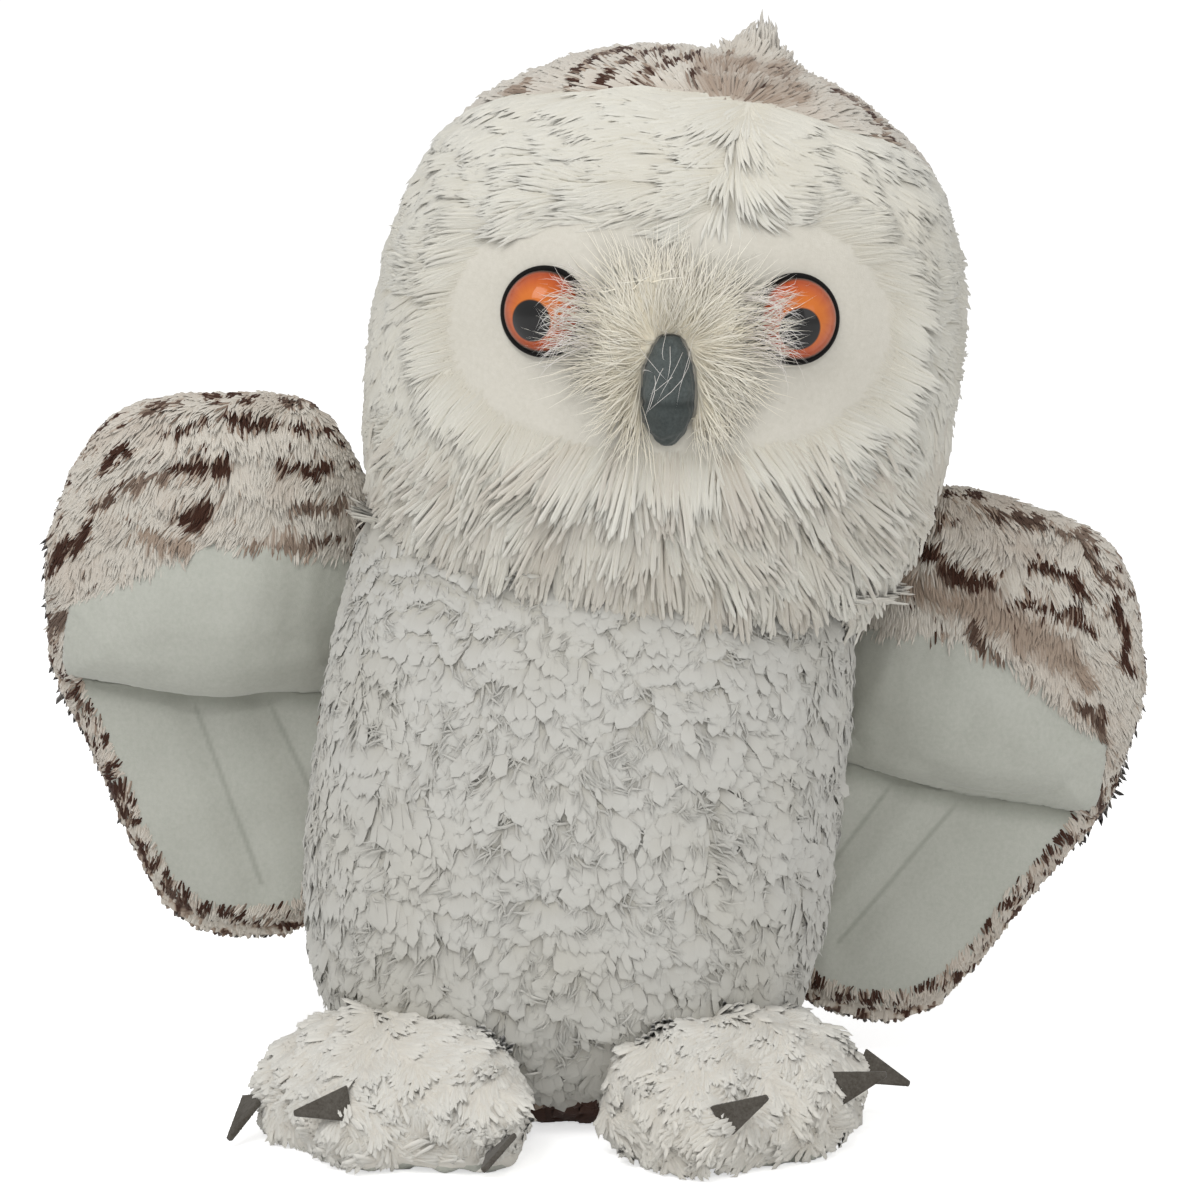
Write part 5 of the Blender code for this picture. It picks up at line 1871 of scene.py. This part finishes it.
@dataclass
class Foot:
    """One foot: matted plush over three toes, a pale sole, and felt claws."""

    side: Side
    voxel: float = 1.8 * MM
    wall: float = 1.0 * MM
    pile: PileStyle = PileStyle(
        spacing=1.1 * MM,
        length=5.6 * MM,
        width=1.5 * MM,
        flat=0.9,
        rise=0.08,
        sag=0.05,
        uneven=0.2,
        unruly=0.2,
        swirl=1.2,
        swirl_size=22 * MM,
        lock_size=5 * MM,
        lock_pull=0.25,
        lock_turn=0.35,
        curl=0.8 * MM,
        rings=(0.0, 0.8),
        soft=0.95,
    )

    def comb(self, roots: Array) -> Array:
        """Brushes the foot's pile outwards and down from its instep."""
        low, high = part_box(f"{self.side.value}_foot_plush")
        top = np.array([(low.x + high.x) / 2, high.y - 0.02, high.z])
        return unit(roots - top) + np.array([0.0, -0.2, -0.2])

    def above_sole(self, roots: Array) -> Array:
        """Leaves out the pile that would bend on the floor or under the body."""
        return ease(roots[:, 2], 3 * MM, 5 * MM) * (1 - ease(roots[:, 1], -34 * MM, -27 * MM))

    def crease(self, skin: bpy.types.Object) -> None:
        """Presses the soft creases of matted pile into the skin."""
        surface = read_surface(skin.data)
        folds = 0.8 * Drift(13 * MM, 84).at(surface.points)
        folds = folds + 0.45 * Drift(6 * MM, 85).at(surface.points)
        points = surface.points + surface.normals * (folds * MM)[:, None]
        points[:, 2] = np.maximum(points[:, 2], 0.0)
        move_points(skin, points)

    def build(
        self, matted: bpy.types.Material, velboa: bpy.types.Material, felt: bpy.types.Material
    ) -> None:
        """Makes the foot, its sole and its claws."""
        name = f"{self.side.value}_foot"
        nodes = [f"{name}_plush", f"{name}_sole"]
        skin = fused_skin(f"{name}_skin", nodes + [f"{name}_filling"], self.voxel, 3)
        faces = share_faces(skin, {n: [n] for n in nodes})
        self.crease(skin)
        panel, outside = cut_panel(skin, faces[nodes[0]], f"{name}_pile", self.wall)
        grown = grow(outside, self.pile, self.comb, 83, density=self.above_sole)
        place_piece(join_pile(panel, [grown]), name, matted, (nodes[0],))
        panel, _ = cut_panel(skin, faces[nodes[1]], f"{name}_sole_velboa", self.wall)
        place_piece(panel, name, velboa, (nodes[1],))
        bpy.data.objects.remove(skin)
        for number in (1, 2, 3):
            node = f"{self.side.value}_claw_{number}"
            claw = fused_skin(f"{node}_felt", [node], 0.35 * MM, 1)
            claw.data.shade_smooth()
            place_piece(claw, name, felt, (node,))


@dataclass
class Tail:
    """The short two-layer tail: barred plush over a pale lining."""

    voxel: float = 1.6 * MM
    wall: float = 0.9 * MM
    pile: PileStyle = PileStyle(
        spacing=1.2 * MM, length=9 * MM, width=1.0 * MM, rise=0.4, sag=0.0, lock_turn=0.15
    )

    def comb(self, roots: Array) -> Array:
        """Brushes the tail towards its end."""
        return np.tile([0.0, 1.0, -0.35], (len(roots), 1))

    def bars(self, points: Array) -> Array:
        """Returns the tail's printed rows."""
        return print_rows(points[:, 0], points[:, 1], 10 * MM, 91)

    def build(self, barred: bpy.types.Material, velboa: bpy.types.Material) -> None:
        """Makes the tail's two layers."""
        nodes = ["tail_plush", "tail_lining"]
        skin = fused_skin("tail_skin", nodes, self.voxel, 2)
        faces = share_faces(skin, {n: [n] for n in nodes})
        panel, outside = cut_panel(skin, faces[nodes[0]], "tail_pile", self.wall)
        pile = grow(outside, self.pile, self.comb, 92, self.bars)
        place_piece(
            join_pile(panel, [pile], self.bars), "tail", barred, (nodes[0],)
        )
        panel, _ = cut_panel(skin, faces[nodes[1]], "tail_lining_velboa", self.wall)
        place_piece(panel, "tail", velboa, (nodes[1],))
        bpy.data.objects.remove(skin)


def dress_inside() -> None:
    """Gives what is sewn inside its own finish: filling, pellet bag and washers."""
    inside = (("_filling", FILLING), ("pellet_bag", BAG_CLOTH), ("_washer", WASHER))
    for ending, cloth in inside:
        finish = cloth.make()
        for name, node in frame["nodes"].items():
            if name.endswith(ending):
                node.data.materials.clear()
                node.data.materials.append(finish)
                log.info("%s: dressed", name)


# ---------------------------------------------------------------- studio


@dataclass
class Studio:
    """A white sweep, soft lamps, and the camera at the photograph's angle."""

    target: tuple[float, float, float] = (0.013, 0.0, 0.134)
    distance: float = 1.1
    elevation: float = 10.0
    lens: float = 124.41
    floor_size: float = 40.0
    world_light: float = 0.53

    def camera(self) -> None:
        """Puts the camera in front of the owl and a little above it."""
        angle = math.radians(self.elevation)
        made = bpy.data.cameras.new("camera")
        made.lens, made.sensor_width = self.lens, 36.0
        made.clip_start, made.clip_end = 0.05, 100.0
        cam = link_object("camera", made)
        back = Vector((0, -math.cos(angle), math.sin(angle)))
        cam.location = Vector(self.target) + back * self.distance
        cam.rotation_euler = (math.radians(90 - self.elevation), 0, 0)
        bpy.context.scene.camera = cam

    def lamp(
        self, name: str, place: tuple[float, float, float], size: float, watts: float
    ) -> None:
        """Hangs one square soft lamp that faces the owl."""
        made = bpy.data.lights.new(name, "AREA")
        made.shape, made.size, made.energy = "SQUARE", size, watts
        lamp = link_object(name, made)
        lamp.location = place
        way = Vector(self.target) - Vector(place)
        lamp.rotation_euler = way.to_track_quat("-Z", "Y").to_euler()

    def seen(self, tree: bpy.types.NodeTree) -> bpy.types.NodeSocket:
        """Returns 1 for what the eye sees, directly, mirrored or through glass."""
        path = add_node(tree, "ShaderNodeLightPath").outputs
        first = add_node(
            tree,
            "ShaderNodeMath",
            {0: path["Is Camera Ray"], 1: path["Is Glossy Ray"]},
            operation="MAXIMUM",
        )
        both = add_node(
            tree,
            "ShaderNodeMath",
            {0: first.outputs[0], 1: path["Is Transmission Ray"]},
            operation="MAXIMUM",
        )
        return both.outputs[0]

    def world(self) -> None:
        """Surrounds the owl with even light that looks white."""
        made = bpy.data.worlds.new("white surround")
        bpy.context.scene.world = made
        made.use_nodes = True
        tree = made.node_tree
        tree.nodes.clear()
        strength = add_node(
            tree,
            "ShaderNodeMapRange",
            {"Value": self.seen(tree), "To Min": self.world_light, "To Max": 1.0},
        )
        light = add_node(
            tree,
            "ShaderNodeBackground",
            {"Color": (1, 1, 1, 1), "Strength": strength.outputs[0]},
        )
        add_node(tree, "ShaderNodeOutputWorld", {"Surface": light.outputs[0]})

    def floor(self) -> None:
        """Lays the pale floor, which keeps the owl's soft shadow."""
        bpy.ops.object.select_all(action="DESELECT")
        bpy.ops.mesh.primitive_plane_add(size=self.floor_size, location=(0, 0, 0))
        piece = bpy.context.object
        piece.name = "studio_floor"
        made, tree = new_material("matt white paper sweep")
        place = add_node(tree, "ShaderNodeTexCoord").outputs["Object"]
        grain = add_node(tree, "ShaderNodeTexNoise", {"Vector": place, "Scale": 400.0})
        tone = add_node(
            tree,
            "ShaderNodeValToRGB",
            {"Fac": grain.outputs["Fac"]},
            stops=((0.3, "#F4F4F4"), (0.7, "#F7F7F7")),
        )
        paper = add_node(tree, "ShaderNodeBsdfDiffuse", {"Color": tone.outputs["Color"]})
        glow = add_node(tree, "ShaderNodeEmission", {"Strength": 0.6})
        lit = add_node(tree, "ShaderNodeAddShader", {0: paper.outputs[0], 1: glow.outputs[0]})
        mixed = add_node(
            tree,
            "ShaderNodeMixShader",
            {0: self.seen(tree), 1: paper.outputs[0], 2: lit.outputs[0]},
        )
        close_material(tree, mixed.outputs[0])
        piece.data.materials.append(made)
        piece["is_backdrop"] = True

    def build(self) -> None:
        """Sets up the whole studio."""
        self.camera()
        self.world()
        self.floor()
        self.lamp("key_lamp", (-0.6, -0.9, 1.6), 0.9, 13.0)
        self.lamp("fill_lamp", (1.1, -1.0, 0.7), 0.8, 2.4)
        self.lamp("small_lamp", (0.05, -1.0, 0.85), 0.06, 1.4)
        bpy.context.scene.view_settings.view_transform = "Standard"


def main() -> None:
    """Builds the owl piece by piece."""
    logging.basicConfig(level=logging.INFO, format="%(message)s")
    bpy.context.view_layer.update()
    bpy.ops.object.select_all(action="DESELECT")
    Studio().build()
    shaggy, curly, matted, barred = (p.make() for p in (SHAGGY, CURLY, MATTED, BARRED))
    velboa, claw_felt = VELBOA.make(), CLAW_FELT.make()
    head = Head()
    head.build()
    head.dress(shaggy, barred)
    face = Face(head.skin)
    face.disc(FACE_VELBOA.make())
    face.eyes(EyeAcrylic().make(), BLACK_FELT.make())
    face.beak(GREY_FELT.make())
    face.wisps(FLUFF.make(), EYE_HAIR.make())
    bpy.data.objects.remove(head.skin)
    Torso().build(curly, barred, BASE_CLOTH.make())
    Wing(Side.LEFT, LEFT_DASHES, ((106, -56, 81, -105), (88, -50, 66, -85))).build(barred, velboa)
    Wing(Side.RIGHT, RIGHT_DASHES, ((90, -46, 70, -84), (108, -51, 78, -100))).build(barred, velboa)
    for side in Side:
        Foot(side).build(matted, velboa, claw_felt)
    Tail().build(barred, velboa)
    dress_inside()
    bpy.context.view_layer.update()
    total = sum(len(p.data.polygons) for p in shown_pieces() if p.type == "MESH")
    log.info("all pieces: %d faces", total)


if __name__ == "__main__":
    main()
